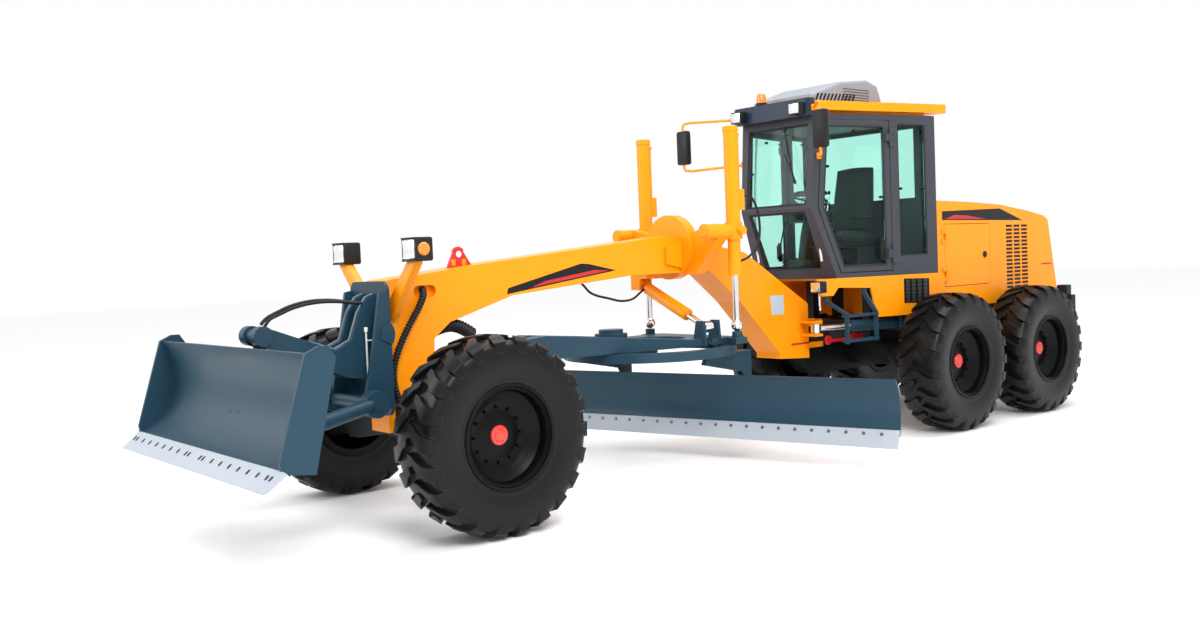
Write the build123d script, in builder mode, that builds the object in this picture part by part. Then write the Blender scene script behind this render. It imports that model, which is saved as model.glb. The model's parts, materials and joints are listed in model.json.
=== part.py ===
from build123d import *
import math
import os

# Motor grader. Millimetres, +X forward, +Y to the driver's left, +Z up, ground at Z = 0.
# The origin lies on the ground, midway between the front blade's tip and the rear bumper.

# Driving dimensions
WHEELBASE = 6219          # front axle to the tandem's centre
TANDEM_PITCH = 1545       # between the two driven wheels of one side
TRACK = 2156              # between the wheels' middle planes
FRONT_REACH = 1690        # front axle to the dozer's cutting edge
REAR_REACH = 2150         # tandem's centre to the rear bumper
HINGE_AHEAD = 1600        # tandem's centre to the articulation pin

TYRE_RADIUS = 670
TYRE_WIDTH = 445
RIM_RADIUS = 318
FLANGE_RADIUS = 355
RIM_WIDTH = 380
RIM_WALL = 14
DISC_INSET = 40           # wheel disc's outer face, outboard of the middle plane
CAP_RADIUS = 66
HUB_RADIUS = 150
HUB_GAP = 0.3             # between a hub's face and its wheel disc

TANDEM_X = -(FRONT_REACH + WHEELBASE - REAR_REACH) / 2
FRONT_X = TANDEM_X + WHEELBASE
HINGE_X = TANDEM_X + HINGE_AHEAD
EDGE_X = FRONT_X + FRONT_REACH    # foot of the dozer's cutting edge
WHEEL_Y = TRACK / 2
AXLE_Z = TYRE_RADIUS

# Gaps
RUN_GAP = 5               # between pieces that move past each other
SEAT_GAP = 0.3            # between pieces that rest on each other
PIN_GAP = 0.05            # round a running pin

SIDES = {"left": 1, "right": -1}

os.makedirs("parts", exist_ok=True)


def side_slab(points, y_low, y_high, mode=Mode.ADD):
    """Extrude an outline of (X, Z) points between two Y values into the open part."""
    with BuildSketch(Plane.XZ.offset(-y_high)) as outline:
        with BuildLine():
            Polyline(*points, close=True)
        make_face()
    return extrude(outline.sketch, amount=y_high - y_low, mode=mode)


def plan_slab(points, z_low, z_high, mode=Mode.ADD):
    """Extrude an outline of (X, Y) points between two heights into the open part."""
    with BuildSketch(Plane.XY.offset(z_low)) as outline:
        with BuildLine():
            Polyline(*points, close=True)
        make_face()
    return extrude(outline.sketch, amount=z_high - z_low, mode=mode)


def cross_slab(points, x_low, x_high, mode=Mode.ADD):
    """Extrude an outline of (Y, Z) points between two X values into the open part."""
    with BuildSketch(Plane.YZ.offset(x_low)) as outline:
        with BuildLine():
            Polyline(*points, close=True)
        make_face()
    return extrude(outline.sketch, amount=x_high - x_low, mode=mode)


def block(x, y, z, mode=Mode.ADD):
    """Add a box given by its (low, high) pairs along X, Y and Z to the open part."""
    middle = [(low + high) / 2 for low, high in (x, y, z)]
    with Locations(tuple(middle)):
        return Box(x[1] - x[0], y[1] - y[0], z[1] - z[0], mode=mode)


def rod(start, end, radius, mode=Mode.ADD):
    """Add a round bar between two points to the open part."""
    axis = Vector(*end) - Vector(*start)
    with BuildSketch(Plane(origin=start, z_dir=axis)) as section:
        Circle(radius)
    return extrude(section.sketch, amount=axis.length, mode=mode)


def between(start, end, distance):
    """The point that lies a distance from start towards end."""
    return tuple(Vector(*start) + (Vector(*end) - Vector(*start)).normalized() * distance)


def save(piece, name):
    """Label a finished piece and write it to its own file."""
    piece.label = name
    export_step(piece, f"parts/{name}.step")


# Wheels: a tyre on a deep dished rim with a hub cap. Both are turned about Y.
TYRE_SEAT_GAP = 0.3
with BuildPart() as tyre:
    with BuildSketch(Plane.XY) as tyre_section:
        with BuildLine():
            Polyline(
                (RIM_RADIUS + TYRE_SEAT_GAP, -RIM_WIDTH / 2),
                (FLANGE_RADIUS + 10, -RIM_WIDTH / 2),
                (470, -TYRE_WIDTH / 2 + 6),
                (540, -TYRE_WIDTH / 2),
                (620, -TYRE_WIDTH / 2 + 12),
                (TYRE_RADIUS - 12, -TYRE_WIDTH / 2 + 35),
                (TYRE_RADIUS, -TYRE_WIDTH / 2 + 80),
                (TYRE_RADIUS, TYRE_WIDTH / 2 - 80),
                (TYRE_RADIUS - 12, TYRE_WIDTH / 2 - 35),
                (620, TYRE_WIDTH / 2 - 12),
                (540, TYRE_WIDTH / 2),
                (470, TYRE_WIDTH / 2 - 6),
                (FLANGE_RADIUS + 10, RIM_WIDTH / 2),
                (RIM_RADIUS + TYRE_SEAT_GAP, RIM_WIDTH / 2),
                close=True,
            )
        make_face()
    revolve(axis=Axis.Y)

RIM_EDGE = RIM_WIDTH / 2 + TYRE_SEAT_GAP
with BuildPart() as rim:
    with BuildSketch(Plane.XY):
        with BuildLine():
            Polyline(
                (RIM_RADIUS, RIM_EDGE),
                (FLANGE_RADIUS, RIM_EDGE),
                (FLANGE_RADIUS, RIM_EDGE + RIM_WALL),
                (RIM_RADIUS - RIM_WALL, RIM_EDGE + RIM_WALL),
                (RIM_RADIUS - RIM_WALL, DISC_INSET + 60),
                (HUB_RADIUS + 40, DISC_INSET),
                (CAP_RADIUS, DISC_INSET),
                (CAP_RADIUS - 6, DISC_INSET + 14),
                (0, DISC_INSET + 18),
                (0, DISC_INSET - 24),
                (HUB_RADIUS + 50, DISC_INSET - 24),
                (RIM_RADIUS - RIM_WALL, DISC_INSET + 20),
                (RIM_RADIUS - RIM_WALL, -RIM_EDGE - RIM_WALL),
                (FLANGE_RADIUS, -RIM_EDGE - RIM_WALL),
                (FLANGE_RADIUS, -RIM_EDGE),
                (RIM_RADIUS, -RIM_EDGE),
                close=True,
            )
        make_face()
    revolve(axis=Axis.Y)

WHEEL_CENTRES = {
    "front": FRONT_X,
    "middle": TANDEM_X + TANDEM_PITCH / 2,
    "rear": TANDEM_X - TANDEM_PITCH / 2,
}
for place, wheel_x in WHEEL_CENTRES.items():
    for side, sign in SIDES.items():
        turned = 0 if sign > 0 else 180
        seat = Location((wheel_x, sign * WHEEL_Y, AXLE_Z), (0, 0, turned))
        save(tyre.part.moved(seat), f"tyre_{place}_{side}")
        save(rim.part.moved(seat), f"rim_{place}_{side}")

# The hub faces that carry the wheels stand just inside the wheel discs.
HUB_FACE_Y = WHEEL_Y + DISC_INSET - 24 - HUB_GAP

# Rear axle with its two tandem cases and four stub hubs
CASE_HALF = 95
CASE_Y = WHEEL_Y - TYRE_WIDTH / 2 - 40 - CASE_HALF
CASE_HEIGHT = 430
with BuildPart() as tandem_axle:
    for sign in SIDES.values():
        with BuildSketch(Plane.XZ.offset(-(sign * CASE_Y + CASE_HALF))):
            with Locations((TANDEM_X, AXLE_Z)):
                SlotCenterToCenter(TANDEM_PITCH, CASE_HEIGHT)
        extrude(amount=2 * CASE_HALF)
        for place in ("middle", "rear"):
            start = (WHEEL_CENTRES[place], sign * CASE_Y, AXLE_Z)
            rod(start, (WHEEL_CENTRES[place], sign * HUB_FACE_Y, AXLE_Z), HUB_RADIUS)
    rod((TANDEM_X, -CASE_Y, AXLE_Z), (TANDEM_X, CASE_Y, AXLE_Z), 165)
    with Locations((TANDEM_X, 0, AXLE_Z)):
        Sphere(205)
save(tandem_axle.part, "tandem_axle")

# Rear frame: two rails, cross members, hinge nose, bumper and cab posts
RAIL_OUT = 400
RAIL_WIDTH = 120
RAIL_LOW = 880
RAIL_TOP = 1080
RAIL_REAR = TANDEM_X - REAR_REACH + 90
RAIL_FRONT = HINGE_X - 420
NOSE_HALF = 110
NOSE_LOW = 905
NOSE_TOP = 1055
PIN_RADIUS = 45
BUMPER_HALF = 850
HITCH_PLATE = 25
HITCH_BORE = 21
HITCH_X = TANDEM_X - REAR_REACH + 45
CAB_FLOOR = 1530
DECK_THICK = 25
POST_HALF = 45
ARTIC_ANCHOR = (HINGE_X - 700, 580, 1050)
with BuildPart() as rear_frame:
    for sign in SIDES.values():
        outer, inner = sorted((sign * RAIL_OUT, sign * (RAIL_OUT - RAIL_WIDTH)))
        block((RAIL_REAR, RAIL_FRONT), (outer, inner), (RAIL_LOW, RAIL_TOP))
    inside = (-(RAIL_OUT - RAIL_WIDTH), RAIL_OUT - RAIL_WIDTH)
    for x in (RAIL_REAR, TANDEM_X - 80, RAIL_FRONT - 160):
        block((x, x + 160), inside, (RAIL_LOW, RAIL_TOP))
    # saddles that carry the axle housing
    for sign in SIDES.values():
        y_pair = sorted((sign * RAIL_OUT, sign * (RAIL_OUT - RAIL_WIDTH)))
        block((TANDEM_X - 180, TANDEM_X + 180), y_pair, (AXLE_Z + 165 + SEAT_GAP, RAIL_LOW))
    plan_slab(
        [
            (RAIL_FRONT - 10, RAIL_OUT - RAIL_WIDTH + 10),
            (HINGE_X - 160, NOSE_HALF),
            (HINGE_X, NOSE_HALF),
            (HINGE_X, -NOSE_HALF),
            (HINGE_X - 160, -NOSE_HALF),
            (RAIL_FRONT - 10, -RAIL_OUT + RAIL_WIDTH - 10),
        ],
        NOSE_LOW,
        NOSE_TOP,
    )
    rod((HINGE_X, 0, NOSE_LOW), (HINGE_X, 0, NOSE_TOP), NOSE_HALF)
    rod((HINGE_X, 0, NOSE_LOW), (HINGE_X, 0, NOSE_TOP), PIN_RADIUS + PIN_GAP, Mode.SUBTRACT)
    # bumper across the tail
    bumper_x = TANDEM_X - REAR_REACH
    block((bumper_x, RAIL_REAR), (-BUMPER_HALF, BUMPER_HALF), (960, 1170))
    # tow hitch: two plates under the bumper with a bore for a drop pin
    for z in (RAIL_LOW, 960 - HITCH_PLATE):
        block((bumper_x + 5, RAIL_REAR + 20), (-70, 70), (z, z + HITCH_PLATE))
    rod((HITCH_X, 0, RAIL_LOW - 1), (HITCH_X, 0, 960), HITCH_BORE, Mode.SUBTRACT)
    # posts under the cab deck
    for sign in SIDES.values():
        for x in (TANDEM_X + 700, HINGE_X - 480):
            block(
                (x - POST_HALF, x + POST_HALF),
                sorted((sign * (RAIL_OUT - 90), sign * RAIL_OUT)),
                (RAIL_TOP, CAB_FLOOR - DECK_THICK - SEAT_GAP),
            )
    # ears for the articulation cylinders
    ear_x, ear_y, ear_z = ARTIC_ANCHOR
    for sign in SIDES.values():
        y_pair = sorted((sign * (RAIL_OUT - 10), sign * (ear_y + 50)))
        for z_low in (ear_z - 75, ear_z + 50):
            block((ear_x - 60, ear_x + 60), y_pair, (z_low, z_low + 25))
        ear_foot = sorted((sign * (RAIL_OUT - 10), sign * (RAIL_OUT + 20)))
        block((ear_x - 60, ear_x + 60), ear_foot, (975, 1125))
save(rear_frame.part, "rear_frame")

# Engine, one plain block on the rails
ENGINE_LENGTH = 1350
ENGINE_X = TANDEM_X - 800
with BuildPart() as engine_block:
    block(
        (ENGINE_X - ENGINE_LENGTH / 2, ENGINE_X + ENGINE_LENGTH / 2),
        (-RAIL_OUT + 60, RAIL_OUT - 60),
        (RAIL_TOP + SEAT_GAP, RAIL_TOP + 830),
    )
save(engine_block.part, "engine_block")

# Hood: a shell over the engine with a falling rear edge
HOOD_HALF = 760
HOOD_WALL = 30
HOOD_FRONT = TANDEM_X + 490
HOOD_LOW = 1160
HOOD_TOP = 2260
HOOD_TAIL_TOP = 2047
DOOR_FRONT = TANDEM_X + 370
DOOR_REAR = TANDEM_X - 490
DOOR_LOW = 1375
DOOR_TOP = 2022
hood_outline = [
    (HOOD_FRONT, HOOD_LOW),
    (HOOD_FRONT, HOOD_TOP),
    (TANDEM_X - 159, HOOD_TOP - 16),
    (TANDEM_X - 692, HOOD_TOP - 41),
    (TANDEM_X - 1287, HOOD_TOP - 111),
    (TANDEM_X - 1632, HOOD_TOP - 167),
    (TANDEM_X - 1720, HOOD_TAIL_TOP),
    (TANDEM_X - 1920, HOOD_LOW),
]
GRILLE_HALF = 520
TAIL_RAKE = 200 / (HOOD_TAIL_TOP - HOOD_LOW)
LOUVRE_PITCH_X = 158
LOUVRE_PITCH_Z = 41.7
LOUVRE_DEEP = 8
DOOR_GAP = 6
KNUCKLE = 11
HOOD_HINGE_X = DOOR_FRONT - DOOR_GAP - 8
HOOD_HINGE_Y = HOOD_HALF + 14
HOOD_HINGE_Z = (DOOR_LOW + 130, DOOR_TOP - 130)
with BuildPart() as hood_shell:
    side_slab(hood_outline, -HOOD_HALF, HOOD_HALF)
    offset(amount=-HOOD_WALL, openings=hood_shell.faces().sort_by(Axis.Z)[0])
    # openings of the side doors
    block((DOOR_REAR, DOOR_FRONT), (-HOOD_HALF - 1, HOOD_HALF + 1), (DOOR_LOW, DOOR_TOP), Mode.SUBTRACT)
    # radiator opening in the tail
    block((TANDEM_X - 2100, TANDEM_X - 1600), (-GRILLE_HALF, GRILLE_HALF), (1300, 1950), Mode.SUBTRACT)
    # blind louvres in both flanks
    for sign in SIDES.values():
        with BuildSketch(Plane.XZ.offset(-sign * HOOD_HALF)) as louvres:
            with Locations((TANDEM_X - 1043, 1652)):
                with GridLocations(LOUVRE_PITCH_X, LOUVRE_PITCH_Z, 3, 17):
                    Rectangle(LOUVRE_PITCH_X - 26, LOUVRE_PITCH_Z - 16)
        extrude(louvres.sketch, amount=sign * LOUVRE_DEEP, mode=Mode.SUBTRACT)
    # bars across the radiator opening
    for row in range(10):
        z = 1345 + row * 62
        x = TANDEM_X - 1720 - (HOOD_TAIL_TOP - z) * TAIL_RAKE + HOOD_WALL / 2
        block((x - 9, x + 9), (-GRILLE_HALF - 4, GRILLE_HALF + 4), (z - 7, z + 7))
    # ledges that rest on the rails' ends
    for x in (HOOD_FRONT - 40, TANDEM_X - 1890):
        ledge_y = (-HOOD_HALF + 5, HOOD_HALF - 5)
        block((x, x + 40), ledge_y, (RAIL_TOP + SEAT_GAP, HOOD_LOW + 60))
    # the shell's half of the door hinges: a knuckle above and below each of the door's
    for sign in SIDES.values():
        strap_y = sorted((sign * (HOOD_HALF - 2), sign * HOOD_HINGE_Y))
        bridge_y = sorted((sign * (HOOD_HALF + 3), sign * HOOD_HINGE_Y))
        for z in HOOD_HINGE_Z:
            for low in (z - 70 - SEAT_GAP, z + 30 + SEAT_GAP):
                block((DOOR_FRONT + 1, DOOR_FRONT + 50), strap_y, (low, low + 40))
                block((HOOD_HINGE_X, DOOR_FRONT + 2), bridge_y, (low, low + 40))
                rod(
                    (HOOD_HINGE_X, sign * HOOD_HINGE_Y, low),
                    (HOOD_HINGE_X, sign * HOOD_HINGE_Y, low + 40),
                    KNUCKLE,
                )
save(hood_shell.part, "hood_shell")
with BuildPart() as hood_door:
    block(
        (DOOR_REAR + DOOR_GAP, DOOR_FRONT - DOOR_GAP),
        (HOOD_HALF - HOOD_WALL, HOOD_HALF),
        (DOOR_LOW + DOOR_GAP, DOOR_TOP - DOOR_GAP),
    )
    for z in HOOD_HINGE_Z:
        rod((HOOD_HINGE_X, HOOD_HINGE_Y, z - 30), (HOOD_HINGE_X, HOOD_HINGE_Y, z + 30), KNUCKLE)
        block((HOOD_HINGE_X - 60, HOOD_HINGE_X), (HOOD_HALF - 2, HOOD_HINGE_Y), (z - 30, z + 30))
for side, sign in SIDES.items():
    save(hood_door.part if sign > 0 else mirror(hood_door.part, about=Plane.XZ), f"hood_door_{side}")

# Cab: walls that taper in plan towards the windscreen, with a kinked nose in side view
CAB_WALL = 60
CAB_REAR = TANDEM_X + 570
CAB_REAR_HALF = 810
CAB_NOSE = TANDEM_X + 2080
CAB_NOSE_HALF = 440
CAB_KNEE = 2210
CAB_TOP = 3100
CAB_TOP_FRONT = TANDEM_X + 1990
CAB_FOOT_FRONT = TANDEM_X + 1800
ROOF_LOW = 3130
ROOF_TOP = 3215
TAPER = (CAB_REAR_HALF - CAB_NOSE_HALF) / (CAB_NOSE - CAB_REAR)
TAPER_ANGLE = math.degrees(math.atan(TAPER))


def cab_half(x):
    """The cab's half width at X."""
    return CAB_REAR_HALF - (x - CAB_REAR) * TAPER


def cab_plan(inset, rear=CAB_REAR, front=CAB_NOSE + 100):
    """Plan outline of the cab, drawn inwards by an inset."""
    return [
        (rear + inset, cab_half(rear) - inset),
        (front - inset, cab_half(front) - inset),
        (front - inset, -cab_half(front) + inset),
        (rear + inset, -cab_half(rear) + inset),
    ]


def cab_profile(inset):
    """Side outline of the cab, drawn inwards by an inset."""
    return [
        (CAB_REAR + inset, CAB_FLOOR + inset),
        (CAB_REAR + inset, CAB_TOP - inset),
        (CAB_TOP_FRONT - inset, CAB_TOP - inset),
        (CAB_NOSE - inset, CAB_KNEE),
        (CAB_FOOT_FRONT - inset, CAB_FLOOR + inset),
    ]


def wall_plane(sign, inward=0):
    """Plane of a side wall, facing outwards, moved inwards by a distance."""
    sine, cosine = math.sin(math.radians(TAPER_ANGLE)), math.cos(math.radians(TAPER_ANGLE))
    return Plane(
        origin=(CAB_REAR, sign * CAB_REAR_HALF, 0),
        x_dir=(-sign * cosine, sine, 0),
        z_dir=(sine, sign * cosine, 0),
    ).offset(-inward)


def wall_face(sign, points, inward=0, shrink=0):
    """A face on a side wall from the (X, Z) points of the side view."""
    stretch = math.cos(math.radians(TAPER_ANGLE))
    with BuildSketch(wall_plane(sign, inward)) as wall:
        with BuildLine():
            Polyline(*[(-sign * (x - CAB_REAR) / stretch, z) for x, z in points], close=True)
        make_face()
        if shrink:
            offset(amount=-shrink)
    return wall.sketch


PILLAR_B = TANDEM_X + 1130
DOOR_SILL = 1575
DOOR_HEAD = 3050
LEAF_THICK = 40
LEAF_GAP = 8
CAB_KNUCKLE = 14
CAB_HINGE_X = PILLAR_B + LEAF_GAP
CAB_HINGE_Y = cab_half(PILLAR_B) + CAB_KNUCKLE
CAB_HINGE_Z = (DOOR_SILL + 170, DOOR_HEAD - 170)
cab_door_outline = [
    (PILLAR_B, DOOR_SILL),
    (TANDEM_X + 1755, DOOR_SILL),
    (TANDEM_X + 2000, CAB_KNEE),
    (TANDEM_X + 1925, DOOR_HEAD),
    (PILLAR_B, DOOR_HEAD),
]
REAR_PANE = [
    (TANDEM_X + 690, 1720),
    (TANDEM_X + 1030, 1720),
    (TANDEM_X + 1030, 3010),
    (TANDEM_X + 690, 3010),
]
with BuildPart() as cab_frame:
    side_slab(cab_profile(0), -CAB_REAR_HALF - 50, CAB_REAR_HALF + 50)
    with BuildSketch(Plane.XY.offset(CAB_FLOOR - 10)):
        with BuildLine():
            Polyline(*cab_plan(0), close=True)
        make_face()
    extrude(amount=CAB_TOP - CAB_FLOOR + 20, mode=Mode.INTERSECT)
with BuildPart() as cab_room:
    side_slab(cab_profile(CAB_WALL), -CAB_REAR_HALF - 50, CAB_REAR_HALF + 50)
    with BuildSketch(Plane.XY.offset(CAB_FLOOR - 10)):
        with BuildLine():
            Polyline(*cab_plan(CAB_WALL), close=True)
        make_face()
    extrude(amount=CAB_TOP - CAB_FLOOR + 20, mode=Mode.INTERSECT)
with cab_frame:
    add(cab_room.part, mode=Mode.SUBTRACT)
    # door openings and rear side windows
    for sign in SIDES.values():
        for opening in (cab_door_outline, REAR_PANE):
            extrude(wall_face(sign, opening, -20), amount=-CAB_WALL - 100, mode=Mode.SUBTRACT)
    # windscreen, from foot to head, and rear window
    low_pane_z = (CAB_FLOOR + 90, CAB_KNEE - 30)
    high_pane_z = (CAB_KNEE + 30, CAB_TOP - 90)
    block((CAB_FOOT_FRONT - 200, CAB_NOSE + 100), (-360, 360), low_pane_z, Mode.SUBTRACT)
    block((CAB_FOOT_FRONT - 100, CAB_NOSE + 100), (-380, 380), high_pane_z, Mode.SUBTRACT)
    block((CAB_REAR - 10, CAB_REAR + CAB_WALL + 10), (-600, 600), (2300, CAB_TOP - 100), Mode.SUBTRACT)
    # the pillars' half of the door hinges
    for sign in SIDES.values():
        y_pair = sorted((sign * (cab_half(PILLAR_B) - 2), sign * (CAB_HINGE_Y + 6)))
        for z in CAB_HINGE_Z:
            for low in (z - 90 - SEAT_GAP, z + 40 + SEAT_GAP):
                block((PILLAR_B - 50, PILLAR_B), y_pair, (low, low + 50))
                rod(
                    (CAB_HINGE_X, sign * CAB_HINGE_Y, low),
                    (CAB_HINGE_X, sign * CAB_HINGE_Y, low + 50),
                    CAB_KNUCKLE,
                )
save(cab_frame.part, "cab_frame")

# Cab doors, one leaf each side with its pane, hinged on the rear pillar
GLASS = 8
LEAF_POINTS = [
    (PILLAR_B + LEAF_GAP, DOOR_SILL + LEAF_GAP),
    (TANDEM_X + 1755 - LEAF_GAP, DOOR_SILL + LEAF_GAP),
    (TANDEM_X + 2000 - LEAF_GAP - 3, CAB_KNEE),
    (TANDEM_X + 1925 - LEAF_GAP, DOOR_HEAD - LEAF_GAP),
    (PILLAR_B + LEAF_GAP, DOOR_HEAD - LEAF_GAP),
]
PANE_POINTS = [
    (PILLAR_B + 75, DOOR_SILL + 65),
    (TANDEM_X + 1710, DOOR_SILL + 65),
    (TANDEM_X + 1930, CAB_KNEE),
    (TANDEM_X + 1862, DOOR_HEAD - 65),
    (PILLAR_B + 75, DOOR_HEAD - 65),
]
with BuildPart() as cab_door:
    extrude(wall_face(1, LEAF_POINTS), amount=-LEAF_THICK)
    extrude(wall_face(1, PANE_POINTS, -1), amount=-LEAF_THICK - 2, mode=Mode.SUBTRACT)
    extrude(wall_face(1, PANE_POINTS, LEAF_THICK / 2, SEAT_GAP), amount=-GLASS)
    for z in CAB_HINGE_Z:
        rod((CAB_HINGE_X, CAB_HINGE_Y, z - 40), (CAB_HINGE_X, CAB_HINGE_Y, z + 40), CAB_KNUCKLE)
        hinge_y = (cab_half(CAB_HINGE_X + 65) - 5, CAB_HINGE_Y)
        block((CAB_HINGE_X, CAB_HINGE_X + 65), hinge_y, (z - 40, z + 40))
for side, sign in SIDES.items():
    save(cab_door.part if sign > 0 else mirror(cab_door.part, about=Plane.XZ), f"cab_door_{side}")

# Fixed panes: rear side windows, windscreen and rear window, set in their openings
with BuildPart() as cab_windows:
    for sign in SIDES.values():
        extrude(wall_face(sign, REAR_PANE, CAB_WALL / 2, SEAT_GAP), amount=-GLASS)
    side_slab(
        [
            (CAB_FOOT_FRONT + 10, CAB_FLOOR + 90 + SEAT_GAP),
            (CAB_FOOT_FRONT + 10 - GLASS, CAB_FLOOR + 90 + SEAT_GAP),
            (CAB_NOSE - 48, CAB_KNEE - 33),
            (CAB_NOSE - 40, CAB_KNEE - 33),
        ],
        -360 + SEAT_GAP,
        360 - SEAT_GAP,
    )
    side_slab(
        [
            (CAB_NOSE - 40, CAB_KNEE + 33),
            (CAB_NOSE - 40 - GLASS, CAB_KNEE + 33),
            (CAB_TOP_FRONT - 28 - GLASS, CAB_TOP - 93),
            (CAB_TOP_FRONT - 28, CAB_TOP - 93),
        ],
        -380 + SEAT_GAP,
        380 - SEAT_GAP,
    )
    block(
        (CAB_REAR + 20, CAB_REAR + 20 + GLASS),
        (-600 + SEAT_GAP, 600 - SEAT_GAP),
        (2300 + SEAT_GAP, CAB_TOP - 100 - SEAT_GAP),
    )
save(cab_windows.part, "cab_windows")

# Roof with its overhang, the visor band at its front and the air conditioner on top
ROOF_REAR = TANDEM_X + 430
ROOF_FRONT = TANDEM_X + 2020
ROOF_OVERHANG = 35
with BuildPart() as cab_roof:
    plan_slab(
        [
            (ROOF_REAR, cab_half(ROOF_REAR) + 10),
            (ROOF_FRONT, cab_half(ROOF_FRONT) + ROOF_OVERHANG),
            (ROOF_FRONT, -cab_half(ROOF_FRONT) - ROOF_OVERHANG),
            (ROOF_REAR, -cab_half(ROOF_REAR) - 10),
        ],
        ROOF_LOW,
        ROOF_TOP,
    )
    plan_slab(cab_plan(70, front=CAB_TOP_FRONT), CAB_TOP + SEAT_GAP, ROOF_LOW)
save(cab_roof.part, "cab_roof")

VISOR_REACH = 90
VISOR_HALF = 478
VISOR_TOP = 3240
with BuildPart() as cab_visor:
    plan_slab(
        [
            (ROOF_FRONT + SEAT_GAP, VISOR_HALF),
            (ROOF_FRONT + VISOR_REACH - 20, VISOR_HALF),
            (ROOF_FRONT + VISOR_REACH, 440),
            (ROOF_FRONT + VISOR_REACH, -440),
            (ROOF_FRONT + VISOR_REACH - 20, -VISOR_HALF),
            (ROOF_FRONT + SEAT_GAP, -VISOR_HALF),
        ],
        3075,
        VISOR_TOP,
    )
save(cab_visor.part, "cab_visor")

AC_HALF = 370
with BuildPart() as ac_unit:
    side_slab(
        [
            (TANDEM_X + 1930, ROOF_TOP + SEAT_GAP),
            (TANDEM_X + 1920, 3300),
            (TANDEM_X + 1500, 3440),
            (TANDEM_X + 1048, 3490),
            (TANDEM_X + 880, 3440),
            (TANDEM_X + 834, 3340),
            (TANDEM_X + 834, ROOF_TOP + SEAT_GAP),
        ],
        -AC_HALF,
        AC_HALF,
    )
    side_edges = ac_unit.edges().filter_by(lambda edge: abs(edge.center().Y) > AC_HALF - 1)
    top_edges = side_edges.filter_by(lambda edge: edge.center().Z > 3300)
    fillet(top_edges, 30)
    # intake slots in both flanks
    for sign in SIDES.values():
        with BuildSketch(Plane.XZ.offset(-sign * AC_HALF)) as slots:
            with Locations((TANDEM_X + 1240, 3325)):
                with GridLocations(1, 26, 1, 5):
                    Rectangle(420, 12)
        extrude(slots.sketch, amount=sign * 12, mode=Mode.SUBTRACT)
save(ac_unit.part, "ac_unit")

# Deck and skirts under the cab
SKIRT = 22
SKIRT_FRONT = TANDEM_X + 2030
with BuildPart() as base_panels:
    plan_slab(
        cab_plan(0, rear=HOOD_FRONT + 12, front=TANDEM_X + 1700),
        CAB_FLOOR - DECK_THICK,
        CAB_FLOOR - SEAT_GAP,
    )
    with BuildSketch(Plane.XY.offset(1130)):
        for sign in SIDES.values():
            with BuildLine():
                Polyline(
                    (HOOD_FRONT + 12, sign * cab_half(HOOD_FRONT + 12)),
                    (SKIRT_FRONT, sign * cab_half(SKIRT_FRONT)),
                    (SKIRT_FRONT, sign * (cab_half(SKIRT_FRONT) - SKIRT)),
                    (HOOD_FRONT + 12, sign * (cab_half(HOOD_FRONT + 12) - SKIRT)),
                    close=True,
                )
            make_face()
    extrude(amount=CAB_FLOOR - SEAT_GAP - 1130)
    # step cut-out and raked nose
    side_slab(
        [
            (TANDEM_X + 1330, 1100),
            (TANDEM_X + 1400, 1420),
            (TANDEM_X + 1790, 1440),
            (TANDEM_X + 1850, 1365),
            (TANDEM_X + 1990, 1365),
            (TANDEM_X + 2040, 1531),
            (TANDEM_X + 2100, 1531),
            (TANDEM_X + 2100, 1100),
        ],
        -1000,
        1000,
        Mode.SUBTRACT,
    )
save(base_panels.part, "base_panels")

# Steps: two flat stringers a side, hung from the skirts, with two treads between them
STEP_FRONT = TANDEM_X + 1930
STEP_REAR = TANDEM_X + 1480
STRINGER = 20              # half the stringers' depth
STEP_FOOT = 915
with BuildPart() as steps:
    for sign in SIDES.values():
        low_y = cab_half(STEP_REAR) + 120
        for x, top_z in ((STEP_FRONT, 1365), (STEP_REAR, 1423.4)):
            top_y = cab_half(x) - SKIRT / 2
            stringer = [
                (top_y - STRINGER, top_z - SEAT_GAP),
                (top_y + STRINGER, top_z - SEAT_GAP),
                (top_y + STRINGER, top_z - 40),
                (low_y + STRINGER, 1200),
                (low_y + STRINGER, STEP_FOOT),
                (low_y - STRINGER, STEP_FOOT),
                (low_y - STRINGER, 1185),
                (top_y - STRINGER, top_z - 55),
            ]
            cross_slab([(sign * y, z) for y, z in stringer], x - 12, x + 12)
        for z in (1175, 940):
            tread_y = sorted((sign * (low_y - 60), sign * (low_y + 30)))
            block((STEP_REAR - 5, STEP_FRONT + 5), tread_y, (z - 12, z + 12))
save(steps.part, "steps")

# Cab fittings: seat, steering column with levers, mirrors and lamps
with BuildPart() as seat:
    seat_x = CAB_REAR + 520
    block((seat_x - 180, seat_x + 180), (-180, 180), (CAB_FLOOR + CAB_WALL + SEAT_GAP, CAB_FLOOR + 330))
    block((seat_x - 260, seat_x + 260), (-260, 260), (CAB_FLOOR + 330, CAB_FLOOR + 470))
    side_slab(
        [
            (seat_x - 260, CAB_FLOOR + 400),
            (seat_x - 140, CAB_FLOOR + 400),
            (seat_x - 220, CAB_FLOOR + 1130),
            (seat_x - 320, CAB_FLOOR + 1130),
        ],
        -240,
        240,
    )
save(seat.part, "seat")

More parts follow.
